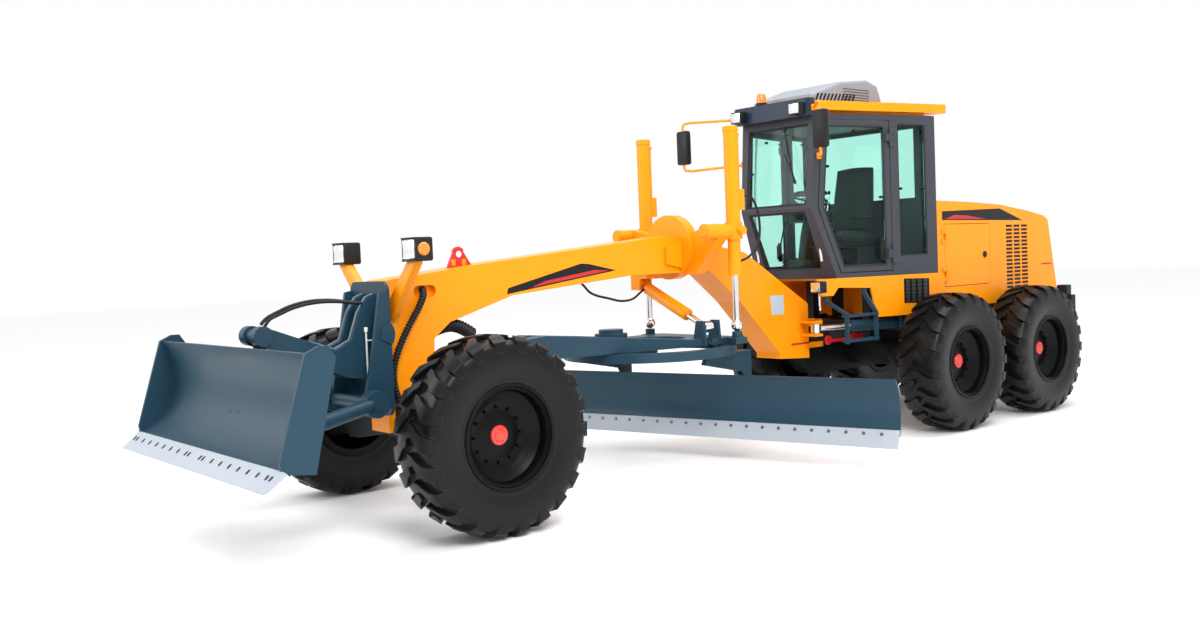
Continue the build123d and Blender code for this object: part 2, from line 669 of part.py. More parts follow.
COLUMN_FOOT = (CAB_REAR + 1110, 0, CAB_FLOOR + CAB_WALL + SEAT_GAP)
COLUMN_HEAD = (CAB_REAR + 960, 0, CAB_FLOOR + 760)
with BuildPart() as controls:
    foot_x, _, foot_z = COLUMN_FOOT
    block((foot_x - 90, foot_x + 60), (-150, 150), (foot_z, foot_z + 120))
    rod((foot_x, 0, foot_z + 60), COLUMN_HEAD, 55)
    block((foot_x - 190, foot_x - 70), (-240, 240), (CAB_FLOOR + 560, CAB_FLOOR + 660))
    for y in (-210, -150, -90, 90, 150, 210):
        rod((foot_x - 130, y, CAB_FLOOR + 640), (foot_x - 170, y, CAB_FLOOR + 860), 8)
    with Locations(Plane(origin=COLUMN_HEAD, z_dir=(-0.5, 0, 0.85))):
        Torus(190, 16)
        Box(360, 30, 14)
save(controls.part, "controls")

MIRROR_Y = 870
MIRROR_X = TANDEM_X + 2440
PILLAR_FOOT_X = TANDEM_X + 1962
MIRROR_TUBE = 15
with BuildPart() as mirrors:
    for sign in SIDES.values():
        # feet on the visor's end and on the front pillar
        visor_foot = sorted((sign * (VISOR_HALF + SEAT_GAP), sign * (VISOR_HALF + 30)))
        block((ROOF_FRONT + 10, ROOF_FRONT + 60), visor_foot, (3115, 3175))
        pillar_y = cab_half(PILLAR_FOOT_X) + SEAT_GAP
        pillar_foot = sorted((sign * pillar_y, sign * (pillar_y + 35)))
        block((PILLAR_FOOT_X, PILLAR_FOOT_X + 45), pillar_foot, (2665, 2725))
        corner = (ROOF_FRONT + 35, sign * (VISOR_HALF + 20), 3145)
        low = (PILLAR_FOOT_X + 22, sign * (pillar_y + 22), 2695)
        bend = (MIRROR_X, sign * MIRROR_Y)
        rod(corner, (*bend, 3130), MIRROR_TUBE - 3)
        rod(low, (*bend, 2660), MIRROR_TUBE - 3)
        rod((*bend, 2640), (*bend, 3150), MIRROR_TUBE)
        glass_y = sorted((sign * (MIRROR_Y - 75), sign * (MIRROR_Y + 75)))
        block((MIRROR_X - 45, MIRROR_X + 30), glass_y, (2720, 3060))
save(mirrors.part, "mirrors")

with BuildPart() as lamps:
    lamp_x = ROOF_FRONT + VISOR_REACH
    for sign in SIDES.values():
        # work lamps on the visor, driving lamps under the cab's nose, tail lamps
        block((lamp_x + SEAT_GAP, lamp_x + 90), sorted((sign * 300, sign * 440)), (3085, 3200))
        nose_y = cab_half(SKIRT_FRONT)
        block(
            (SKIRT_FRONT + SEAT_GAP, SKIRT_FRONT + 95),
            sorted((sign * (nose_y - 8), sign * (nose_y + 120))),
            (1400, 1515),
        )
        tail_x = TANDEM_X - REAR_REACH + 90
        block((tail_x - 60, tail_x + 60), sorted((sign * 700, sign * 820)), (1170 + SEAT_GAP, 1290))
    # beacon on the visor's top
    with BuildSketch(Plane.XY.offset(VISOR_TOP + SEAT_GAP)):
        with Locations((ROOF_FRONT + VISOR_REACH / 2, -140)):
            Circle(43)
    extrude(amount=100, taper=6)
save(lamps.part, "lamps")

# Articulation cylinders: barrels on the rear frame's ears, rods to the front frame's ears
BARREL_RADIUS = 55
ROD_RADIUS = 28
EYE_RADIUS = 50
EYE_HALF = 45
HEAD_EYE_HALF = EYE_HALF + RUN_GAP - SEAT_GAP
ARTIC_EYE = (HINGE_X + 290, 300, 1050)


def lug(point, axis_dir, radius, half):
    """Add a round eye centred on a point, its bore along a direction."""
    start = Vector(*point) - Vector(*axis_dir) * half
    end = Vector(*point) + Vector(*axis_dir) * half
    return rod(tuple(start), tuple(end), radius)


def cylinder_barrel(anchor, eye, length, radius, eye_dir, eye_half):
    """Add a barrel with its head eye at the anchor, pointing at the rod's eye."""
    lug(anchor, eye_dir, EYE_RADIUS, eye_half)
    rod(anchor, between(anchor, eye, 90), radius * 0.6)
    rod(between(anchor, eye, 85), between(anchor, eye, length), radius)
    # room for the rod, from the mouth inwards
    rod(between(anchor, eye, 110), between(anchor, eye, length + 1), ROD_RADIUS + PIN_GAP, Mode.SUBTRACT)


def cylinder_rod(anchor, eye, inner, eye_dir, eye_half):
    """Add a rod from its inner end to an eye at its tip."""
    rod(between(anchor, eye, inner), between(eye, anchor, 10), ROD_RADIUS)
    lug(eye, eye_dir, EYE_RADIUS, eye_half)


ARTIC_BARREL = 620
ARTIC_INNER = 330
for side, sign in SIDES.items():
    anchor = (ARTIC_ANCHOR[0], sign * ARTIC_ANCHOR[1], ARTIC_ANCHOR[2])
    eye = (ARTIC_EYE[0], sign * ARTIC_EYE[1], ARTIC_EYE[2])
    with BuildPart() as artic_barrel:
        cylinder_barrel(anchor, eye, ARTIC_BARREL, BARREL_RADIUS, (0, 0, 1), HEAD_EYE_HALF)
    save(artic_barrel.part, f"articulation_barrel_{side}")
    with BuildPart() as artic_rod:
        cylinder_rod(anchor, eye, ARTIC_INNER, (0, 0, 1), EYE_HALF)
    save(artic_rod.part, f"articulation_rod_{side}")

# Front frame: the arched beam from the articulation to the front axle
BEAM_HALF = 150
LUG_HALF = 120
PLATE_X = HINGE_X + 215
SADDLE_X = HINGE_X + 1879
beam_outline = [
    (PLATE_X, 1290),
    (HINGE_X + 1100, 1815),
    (SADDLE_X + 155, 1989),
    (FRONT_X - 575, 1807),
    (FRONT_X + 225, 1720),
    (FRONT_X + 277, 1650),
    (FRONT_X + 277, 1238),
    (FRONT_X + 254, 879),
    (FRONT_X - 109, 879),
    (FRONT_X - 139, 1178),
    (FRONT_X - 144, 1274),
    (FRONT_X - 287, 1386),
    (FRONT_X - 863, 1555),
    (SADDLE_X + 629, 1658),
    (HINGE_X + 1565, 1658),
    (HINGE_X + 1182, 1362),
    (HINGE_X + 649, 832),
    (HINGE_X + 647, 780),
    (PLATE_X, 753),
]
AXLE_PIN_Z = 690
POCKET_DEEP = 50
AXLE_X = FRONT_X + 75      # middle of the axle beam and its lean pins
LEAN_BAR_Z = 850
BALL = (FRONT_X - 405, 1046)
BALL_RADIUS = 62
with BuildPart() as front_frame:
    side_slab(beam_outline, -BEAM_HALF, BEAM_HALF)
    above_nose = (NOSE_TOP + RUN_GAP, NOSE_TOP + RUN_GAP + 55)
    below_nose = (NOSE_LOW - RUN_GAP - 55, NOSE_LOW - RUN_GAP)
    for z_low, z_high in (above_nose, below_nose):
        block((HINGE_X, PLATE_X + 5), (-LUG_HALF, LUG_HALF), (z_low, z_high))
        rod((HINGE_X, 0, z_low), (HINGE_X, 0, z_high), LUG_HALF)
    rod((HINGE_X, 0, NOSE_LOW - 70), (HINGE_X, 0, NOSE_TOP + 70), PIN_RADIUS)
    # ears for the articulation cylinders' eyes
    for sign in SIDES.values():
        y_pair = sorted((sign * (BEAM_HALF - 5), sign * (ARTIC_EYE[1] + 50)))
        for z_low in (ARTIC_EYE[2] - EYE_HALF - RUN_GAP - 25, ARTIC_EYE[2] + EYE_HALF + RUN_GAP):
            block((ARTIC_EYE[0] - 45, ARTIC_EYE[0] + 60), y_pair, (z_low, z_low + 25))
    # oval pocket where the leg hose comes out
    with BuildSketch(Plane.XZ.offset(-BEAM_HALF)):
        with Locations((FRONT_X - 80, 1625)):
            SlotOverall(190, 90)
    extrude(amount=POCKET_DEEP, mode=Mode.SUBTRACT)
    # foot plates that clasp the axle's middle, with the oscillation pin
    for x in (FRONT_X - 109, FRONT_X + 199):
        block((x, x + 55), (-130, 130), (AXLE_PIN_Z - 70, 890))
    rod((FRONT_X - 100, 0, AXLE_PIN_Z), (FRONT_X + 250, 0, AXLE_PIN_Z), 40)
    # socket that holds the drawbar's ball
    block(
        (BALL[0] - 5, FRONT_X - 105),
        (-BALL_RADIUS - 23, BALL_RADIUS + 23),
        (BALL[1] - BALL_RADIUS - 23, BALL[1] + BALL_RADIUS + 23),
    )
    with Locations((BALL[0], 0, BALL[1])):
        Sphere(BALL_RADIUS + SEAT_GAP, mode=Mode.SUBTRACT)
    # notch over the lean bar
    block((AXLE_X - 50, AXLE_X + 50), (-BEAM_HALF - 1, BEAM_HALF + 1), (860, LEAN_BAR_Z + 50), Mode.SUBTRACT)
save(front_frame.part, "front_frame")

# Lift saddle: disc round the beam, arms with sleeves for the lift cylinders, lower lobe
LIFT_Y = 560
LIFT_Z = 2005
LIFT_X = SADDLE_X - 205
SLEEVE = 62
SADDLE_CENTRE_Z = 1885
SHIFT_AHEAD = 45           # centre-shift cylinder's plane, ahead of the saddle
SHIFT_HEAD = (-370, 1555)
with BuildPart() as lift_saddle:
    with BuildSketch(Plane.YZ.offset(SADDLE_X - 40)):
        with Locations((0, SADDLE_CENTRE_Z)):
            Circle(285)
    extrude(amount=100)
    arm = [
        (0, 1640), (300, 1640), (520, 1880), (600, 1960), (600, 2050), (500, 2060), (160, 1980), (0, 1980),
    ]
    cross_slab(arm + [(-y, z) for y, z in reversed(arm[1:-1])], SADDLE_X - 100, SADDLE_X + 20)
    for sign in SIDES.values():
        rod((SADDLE_X - 110, sign * LIFT_Y, LIFT_Z), (SADDLE_X + 165, sign * LIFT_Y, LIFT_Z), SLEEVE)
        # cheek plate along the beam's side
        side_slab(
            [
                (SADDLE_X - 160, 1715),
                (SADDLE_X - 160, 1890),
                (SADDLE_X - 40, 1950),
                (SADDLE_X + 60, 1950),
                (SADDLE_X + 240, 1880),
                (SADDLE_X + 240, 1740),
                (SADDLE_X + 60, 1700),
            ],
            *sorted((sign * (BEAM_HALF + SEAT_GAP), sign * (BEAM_HALF + 28))),
        )
    # ears that hold the centre-shift cylinder's head
    shift_x = SADDLE_X + SHIFT_AHEAD
    for x in (shift_x - EYE_HALF - RUN_GAP - 25, shift_x + EYE_HALF + RUN_GAP):
        cross_slab([(-440, 1510), (-320, 1510), (-320, 1645), (-440, 1645)], x, x + 25)
    block(
        (SADDLE_X - 60, SADDLE_X + SHIFT_AHEAD + EYE_HALF + RUN_GAP + 25),
        (-440, -220),
        (SHIFT_HEAD[1] + EYE_RADIUS + RUN_GAP, 1650),
    )
    # the beam passes through, a seat gap away
    side_slab(beam_outline, -BEAM_HALF - SEAT_GAP, BEAM_HALF + SEAT_GAP, Mode.SUBTRACT)
save(lift_saddle.part, "lift_saddle")

# Lift cylinders: barrels in trunnion collars outside the saddle's sleeves
LIFT_HEAD = 2905
LIFT_MOUTH = 1620
LIFT_EYE_Z = 1186
LIFT_INNER = 2540
LIFT_SECTIONS = (
    # radius, low, high: gland, lower barrel, trunnion collar, upper barrel, cap
    (60, LIFT_MOUTH, LIFT_MOUTH + 70),
    (54, LIFT_MOUTH, LIFT_Z),
    (76, LIFT_Z - 75, LIFT_Z + 75),
    (62, LIFT_Z, LIFT_HEAD),
    (67, LIFT_HEAD - 45, LIFT_HEAD - 5),
)
for side, sign in SIDES.items():
    y = sign * LIFT_Y
    with BuildPart() as lift_barrel:
        for radius, low, high in LIFT_SECTIONS:
            rod((LIFT_X, y, low), (LIFT_X, y, high), radius)
        rod((SADDLE_X - 110 - SEAT_GAP, y, LIFT_Z), (LIFT_X + 55, y, LIFT_Z), SLEEVE)
        outer = sorted((y - sign * 100, y + sign * 120))
        rod((LIFT_X, outer[0], LIFT_Z), (LIFT_X, outer[1], LIFT_Z), 38)
        # lock valve on the rear side, with its pipe up to the cap
        block((LIFT_X - 118, LIFT_X - 50), (y - 32, y + 32), (2185, 2365))
        rod((LIFT_X - 82, y, 2355), (LIFT_X - 82, y, LIFT_HEAD - 60), 11)
        block((LIFT_X - 96, LIFT_X - 55), (y - 14, y + 14), (LIFT_HEAD - 85, LIFT_HEAD - 55))
        rod(
            (LIFT_X, y, LIFT_HEAD - 60),
            (LIFT_X, y, LIFT_MOUTH - 1),
            ROD_RADIUS + PIN_GAP,
            Mode.SUBTRACT,
        )
    save(lift_barrel.part, f"lift_barrel_{side}")
    with BuildPart() as lift_rod:
        rod((LIFT_X, y, LIFT_EYE_Z + 20), (LIFT_X, y, LIFT_INNER), ROD_RADIUS)
        with Locations((LIFT_X, y, LIFT_EYE_Z)):
            Sphere(52)
    save(lift_rod.part, f"lift_rod_{side}")

# Head lamps on raked arms beside the beam's nose
with BuildPart() as head_lamps:
    for sign in SIDES.values():
        with BuildSketch(Plane.YZ.offset(FRONT_X + 170)):
            with BuildLine():
                Polyline(
                    (sign * (BEAM_HALF + SEAT_GAP), 1440),
                    (sign * (BEAM_HALF + SEAT_GAP + 40), 1440),
                    (sign * 560, 1830),
                    (sign * 560, 1850),
                    (sign * 450, 1850),
                    (sign * (BEAM_HALF + SEAT_GAP), 1560),
                    close=True,
                )
            make_face()
        extrude(amount=60)
        block((FRONT_X + 110, FRONT_X + 260), sorted((sign * 430, sign * 610)), (1845, 2010))
        with BuildSketch(Plane.YZ.offset(FRONT_X + 260)):
            with Locations((sign * 476, 1928), (sign * 564, 1928)):
                Circle(39)
        extrude(amount=-14, mode=Mode.SUBTRACT)
save(head_lamps.part, "head_lamps")

# Dozer tower on the front frame's nose, with a forward arm that holds the dozer cylinder
TOWER_HALF = 268
TOWER_BACK = FRONT_X + 277 + SEAT_GAP
TOWER_FRONT = TOWER_BACK + 160
TOWER_TOP = 1715
TOWER_LOW = 760
DOZER_PIVOT = (FRONT_X + 466, 870)
ARM_TIP = (EDGE_X - 537, 1385)
CLEVIS_HALF = 50
DOZER_EYE = (EDGE_X - 585, 760)
with BuildPart() as dozer_tower:
    with BuildSketch(Plane.YZ.offset(TOWER_BACK)):
        with Locations((0, (TOWER_TOP + TOWER_LOW) / 2)):
            RectangleRounded(2 * TOWER_HALF, TOWER_TOP - TOWER_LOW, 70)
    extrude(amount=25)
    # upright slot beside the right web
    with BuildSketch(Plane.YZ.offset(TOWER_BACK + 25)):
        with Locations((-130, TOWER_TOP - 162)):
            SlotOverall(110, 50, rotation=90)
    extrude(amount=-18, mode=Mode.SUBTRACT)
    for sign in SIDES.values():
        side_slab(
            [
                (TOWER_BACK, TOWER_LOW + 60),
                (TOWER_BACK, TOWER_TOP - 60),
                (TOWER_BACK + 80, TOWER_TOP - 75),
                (TOWER_FRONT - 20, 1300),
                (TOWER_FRONT + 60, 930),
                (TOWER_FRONT + 60, 800),
            ],
            *sorted((sign * TOWER_HALF, sign * (TOWER_HALF - 30))),
        )
    # two webs and the forward arm
    for sign in SIDES.values():
        side_slab(
            [
                (TOWER_BACK, 1010),
                (TOWER_BACK, 1640),
                (TOWER_BACK + 90, 1600),
                (TOWER_BACK + 157, 1500),
                (TOWER_BACK + 227, 1305),
                (TOWER_BACK + 350, 1250),
                (ARM_TIP[0] - 20, ARM_TIP[1] + 62),
                (ARM_TIP[0] + 20, ARM_TIP[1] - 62),
                (TOWER_BACK + 250, 1045),
            ],
            *sorted((sign * (CLEVIS_HALF + RUN_GAP), sign * (CLEVIS_HALF + RUN_GAP + 45))),
        )
        rod(
            (ARM_TIP[0], sign * (CLEVIS_HALF + RUN_GAP), ARM_TIP[1]),
            (ARM_TIP[0], sign * (CLEVIS_HALF + RUN_GAP + 75), ARM_TIP[1]),
            68,
        )
    block((TOWER_BACK, TOWER_BACK + 400), (-CLEVIS_HALF - 10, CLEVIS_HALF + 10), (1200, 1230))
    # pivot pins for the push frame, standing out of the side plates
    rod(
        (DOZER_PIVOT[0], -TOWER_HALF - 110, DOZER_PIVOT[1]),
        (DOZER_PIVOT[0], TOWER_HALF + 110, DOZER_PIVOT[1]),
        PIN_RADIUS,
    )
save(dozer_tower.part, "dozer_tower")

# Dozer blade with its push frame and cutting edge
DOZER_HALF = 1240
DOZER_TOP = 1334
DOZER_LOW = 573
DOZER_CURVE = (EDGE_X + 28, 1081)
DOZER_HOLLOW = 428        # radius of the plate's hollow face
PLATE = 25
EDGE_THICK = 20
with BuildPart() as dozer_blade:
    # ribs that end within the plate's thickness
    for y in (-620, 0, 620):
        side_slab(
            [
                (EDGE_X - 460, 1200),
                (EDGE_X - 330, 1200),
                (EDGE_X - 300, 950),
                (EDGE_X - 200, 760),
                (EDGE_X - 300, 700),
                (EDGE_X - 460, 760),
            ],
            y - 20,
            y + 20,
        )
    rod(
        (DOZER_CURVE[0], -DOZER_HALF, DOZER_CURVE[1]),
        (DOZER_CURVE[0], DOZER_HALF, DOZER_CURVE[1]),
        DOZER_HOLLOW + PLATE / 2,
        Mode.SUBTRACT,
    )
    # curved mouldboard as a section swept straight across
    with BuildSketch(Plane.XZ.offset(-DOZER_HALF)):
        with BuildLine():
            ThreePointArc(
                (EDGE_X - 318, DOZER_TOP),
                (EDGE_X - 380, 950),
                (EDGE_X - 130, DOZER_LOW + 110),
            )
            Line((EDGE_X - 130, DOZER_LOW + 110), (EDGE_X - 155, DOZER_LOW + 90))
            ThreePointArc(
                (EDGE_X - 155, DOZER_LOW + 90),
                (EDGE_X - 405, 950),
                (EDGE_X - 343, DOZER_TOP),
            )
            Line((EDGE_X - 343, DOZER_TOP), (EDGE_X - 318, DOZER_TOP))
        make_face()
    extrude(amount=2 * DOZER_HALF)
    # end plates
    for sign in SIDES.values():
        side_slab(
            [
                (EDGE_X - 498, 1300),
                (EDGE_X - 450, 1373),
                (EDGE_X - 390, 1373),
                (EDGE_X - 305, 1334),
                (EDGE_X - 118, 725),
                (EDGE_X - 127, 660),
                (EDGE_X - 337, 628),
            ],
            *sorted((sign * DOZER_HALF, sign * (DOZER_HALF - PLATE))),
        )
    # push tubes to the pivot, and the cross plate with the cylinder's ears
    for sign in SIDES.values():
        rod(
            (DOZER_PIVOT[0], sign * (TOWER_HALF + RUN_GAP + 50), DOZER_PIVOT[1]),
            (EDGE_X - 370, sign * 600, 760),
            52,
        )
        y_pair = (sign * (TOWER_HALF + RUN_GAP), sign * (TOWER_HALF + RUN_GAP + 100))
        rod((DOZER_PIVOT[0], y_pair[0], DOZER_PIVOT[1]), (DOZER_PIVOT[0], y_pair[1], DOZER_PIVOT[1]), 95)
        rod(
            (DOZER_PIVOT[0], y_pair[0] - sign * 15, DOZER_PIVOT[1]),
            (DOZER_PIVOT[0], y_pair[1] + sign * 15, DOZER_PIVOT[1]),
            PIN_RADIUS + PIN_GAP,
            Mode.SUBTRACT,
        )
        ear = sorted((sign * (CLEVIS_HALF + RUN_GAP), sign * (CLEVIS_HALF + RUN_GAP + 25)))
        side_slab(
            [
                (DOZER_EYE[0] - 50, DOZER_EYE[1] - 60),
                (DOZER_EYE[0] - 50, DOZER_EYE[1] + 50),
                (DOZER_EYE[0] + 50, DOZER_EYE[1] + 60),
                (EDGE_X - 355, 900),
                (EDGE_X - 345, 700),
            ],
            *ear,
        )
    block((EDGE_X - 460, EDGE_X - 360), (-620, 620), (700, 790))
    # cutting edge, bolted on below
    side_slab(
        [
            (EDGE_X - 152, DOZER_LOW + 88 - SEAT_GAP),
            (EDGE_X - 129, DOZER_LOW + 108 - SEAT_GAP),
            (EDGE_X, DOZER_LOW),
            (EDGE_X - EDGE_THICK, DOZER_LOW),
        ],
        -DOZER_HALF - 20,
        DOZER_HALF + 20,
    )
save(dozer_blade.part, "dozer_blade")

DOZER_BARREL = 545         # head eye to mouth
DOZER_INNER = 140          # head eye to the rod's inner end
anchor = (ARM_TIP[0], 0, ARM_TIP[1])
eye = (DOZER_EYE[0], 0, DOZER_EYE[1])
with BuildPart() as dozer_barrel:
    cylinder_barrel(anchor, eye, DOZER_BARREL, BARREL_RADIUS - 7, (0, 1, 0), CLEVIS_HALF + RUN_GAP - SEAT_GAP)
save(dozer_barrel.part, "dozer_barrel")
with BuildPart() as dozer_rod:
    cylinder_rod(anchor, eye, DOZER_INNER, (0, 1, 0), CLEVIS_HALF)
save(dozer_rod.part, "dozer_rod")

# Front axle: arched beam, lean pins at its ends
LEAN_Y = 690
LEAN_Z = 600
LEAN_PIN = 30
EAR_IN = 65               # lean pin's middle to the inner faces of the axle's ears
EAR_THICK = 30
EAR_ROUND = 45
with BuildPart() as front_axle:
    cross_slab(
        [
            (0, 790), (180, 785), (420, 730), (LEAN_Y, 690), (LEAN_Y, 510), (420, 530), (150, 590),
            (-150, 590), (-420, 530), (-LEAN_Y, 510), (-LEAN_Y, 690), (-420, 730), (-180, 785),
        ],
        FRONT_X - 45,
        FRONT_X + 195,
    )
    rod((FRONT_X - 60, 0, AXLE_PIN_Z), (FRONT_X + 200, 0, AXLE_PIN_Z), 40 + PIN_GAP, Mode.SUBTRACT)
    for sign in SIDES.values():
        block(
            (FRONT_X - 46, FRONT_X + 196),
            sorted((sign * (LEAN_Y - 75), sign * (LEAN_Y + 5))),
            (505, 730),
            Mode.SUBTRACT,
        )
        # round-ended ears on both sides of the bracket's boss
        for x in (AXLE_X - EAR_IN - EAR_THICK, AXLE_X + EAR_IN):
            block(
                (x, x + EAR_THICK),
                sorted((sign * (LEAN_Y - 120), sign * LEAN_Y)),
                (LEAN_Z - EAR_ROUND, LEAN_Z + EAR_ROUND),
            )
            rod((x, sign * LEAN_Y, LEAN_Z), (x + EAR_THICK, sign * LEAN_Y, LEAN_Z), EAR_ROUND)
        pin_end = EAR_IN + EAR_THICK
        lean_y = sign * LEAN_Y
        rod((AXLE_X - pin_end, lean_y, LEAN_Z), (AXLE_X + pin_end, lean_y, LEAN_Z), LEAN_PIN)
save(front_axle.part, "front_axle")

# Wheel lean: a bracket on each axle end, joined by a lean bar, carries the kingpin
KING_Y = 900
KING_RADIUS = 40
LEAN_ARM_Y = LEAN_Y - 20
FORK_IN = 28              # lean bar's middle line to the fork's plates
FORK_THICK = 20
with BuildPart() as lean_bracket:
    # boss on the lean pin, between the axle's two ears
    boss_half = EAR_IN - RUN_GAP
    rod((AXLE_X - boss_half, LEAN_Y, LEAN_Z), (AXLE_X + boss_half, LEAN_Y, LEAN_Z), 62)
    # fork up to the lean bar's end
    for x in (AXLE_X - FORK_IN - FORK_THICK, AXLE_X + FORK_IN):
        cross_slab(
            [
                (LEAN_Y - 20, LEAN_Z),
                (LEAN_ARM_Y - 30, LEAN_BAR_Z - 30),
                (LEAN_ARM_Y - 30, LEAN_BAR_Z + 35),
                (LEAN_Y + 60, LEAN_BAR_Z + 35),
                (LEAN_Y + 60, LEAN_Z),
            ],
            x,
            x + FORK_THICK,
        )
    fork_half = FORK_IN + FORK_THICK
    block((AXLE_X - fork_half, AXLE_X + fork_half), (LEAN_Y + 35, LEAN_Y + 60), (LEAN_Z, LEAN_BAR_Z + 35))
    # kingpin fork
    for z in (AXLE_Z - 150, AXLE_Z + 110):
        block((FRONT_X - 55, AXLE_X + 60), (LEAN_Y + 55, KING_Y), (z, z + 40))
        rod((FRONT_X, KING_Y, z), (FRONT_X, KING_Y, z + 40), 60)
    block((FRONT_X - 55, AXLE_X + 60), (LEAN_Y + 50, LEAN_Y + 85), (AXLE_Z - 150, AXLE_Z + 150))
    rod((FRONT_X, KING_Y, AXLE_Z - 150), (FRONT_X, KING_Y, AXLE_Z + 150), KING_RADIUS)
    bore = LEAN_PIN + PIN_GAP
    rod((AXLE_X - EAR_IN, LEAN_Y, LEAN_Z), (AXLE_X + EAR_IN, LEAN_Y, LEAN_Z), bore, Mode.SUBTRACT)

with BuildPart() as spindle:
    rod((FRONT_X, KING_Y, AXLE_Z - 150 + 40 + RUN_GAP), (FRONT_X, KING_Y, AXLE_Z + 110 - RUN_GAP), 75)
    rod((FRONT_X, KING_Y, AXLE_Z), (FRONT_X, HUB_FACE_Y, AXLE_Z), 90)
    rod((FRONT_X, HUB_FACE_Y - 40, AXLE_Z), (FRONT_X, HUB_FACE_Y, AXLE_Z), HUB_RADIUS)
    # steering arm
    block((FRONT_X - 190, FRONT_X - 50), (KING_Y - 40, KING_Y + 30), (AXLE_Z - 40, AXLE_Z - 10))
    rod(
        (FRONT_X, KING_Y, AXLE_Z - 200),
        (FRONT_X, KING_Y, AXLE_Z + 200),
        KING_RADIUS + PIN_GAP,
        Mode.SUBTRACT,
    )

for side, sign in SIDES.items():
    for piece, name in ((lean_bracket, "lean_bracket"), (spindle, "spindle")):
        save(piece.part if sign > 0 else mirror(piece.part, about=Plane.XZ), f"{name}_{side}")

with BuildPart() as lean_bar:
    boss = FORK_IN - SEAT_GAP
    rod((AXLE_X, -LEAN_ARM_Y, LEAN_BAR_Z), (AXLE_X, LEAN_ARM_Y, LEAN_BAR_Z), 24)
    for sign in SIDES.values():
        arm_y = sign * LEAN_ARM_Y
        rod((AXLE_X - boss, arm_y, LEAN_BAR_Z), (AXLE_X + boss, arm_y, LEAN_BAR_Z), 27)
save(lean_bar.part, "lean_bar")

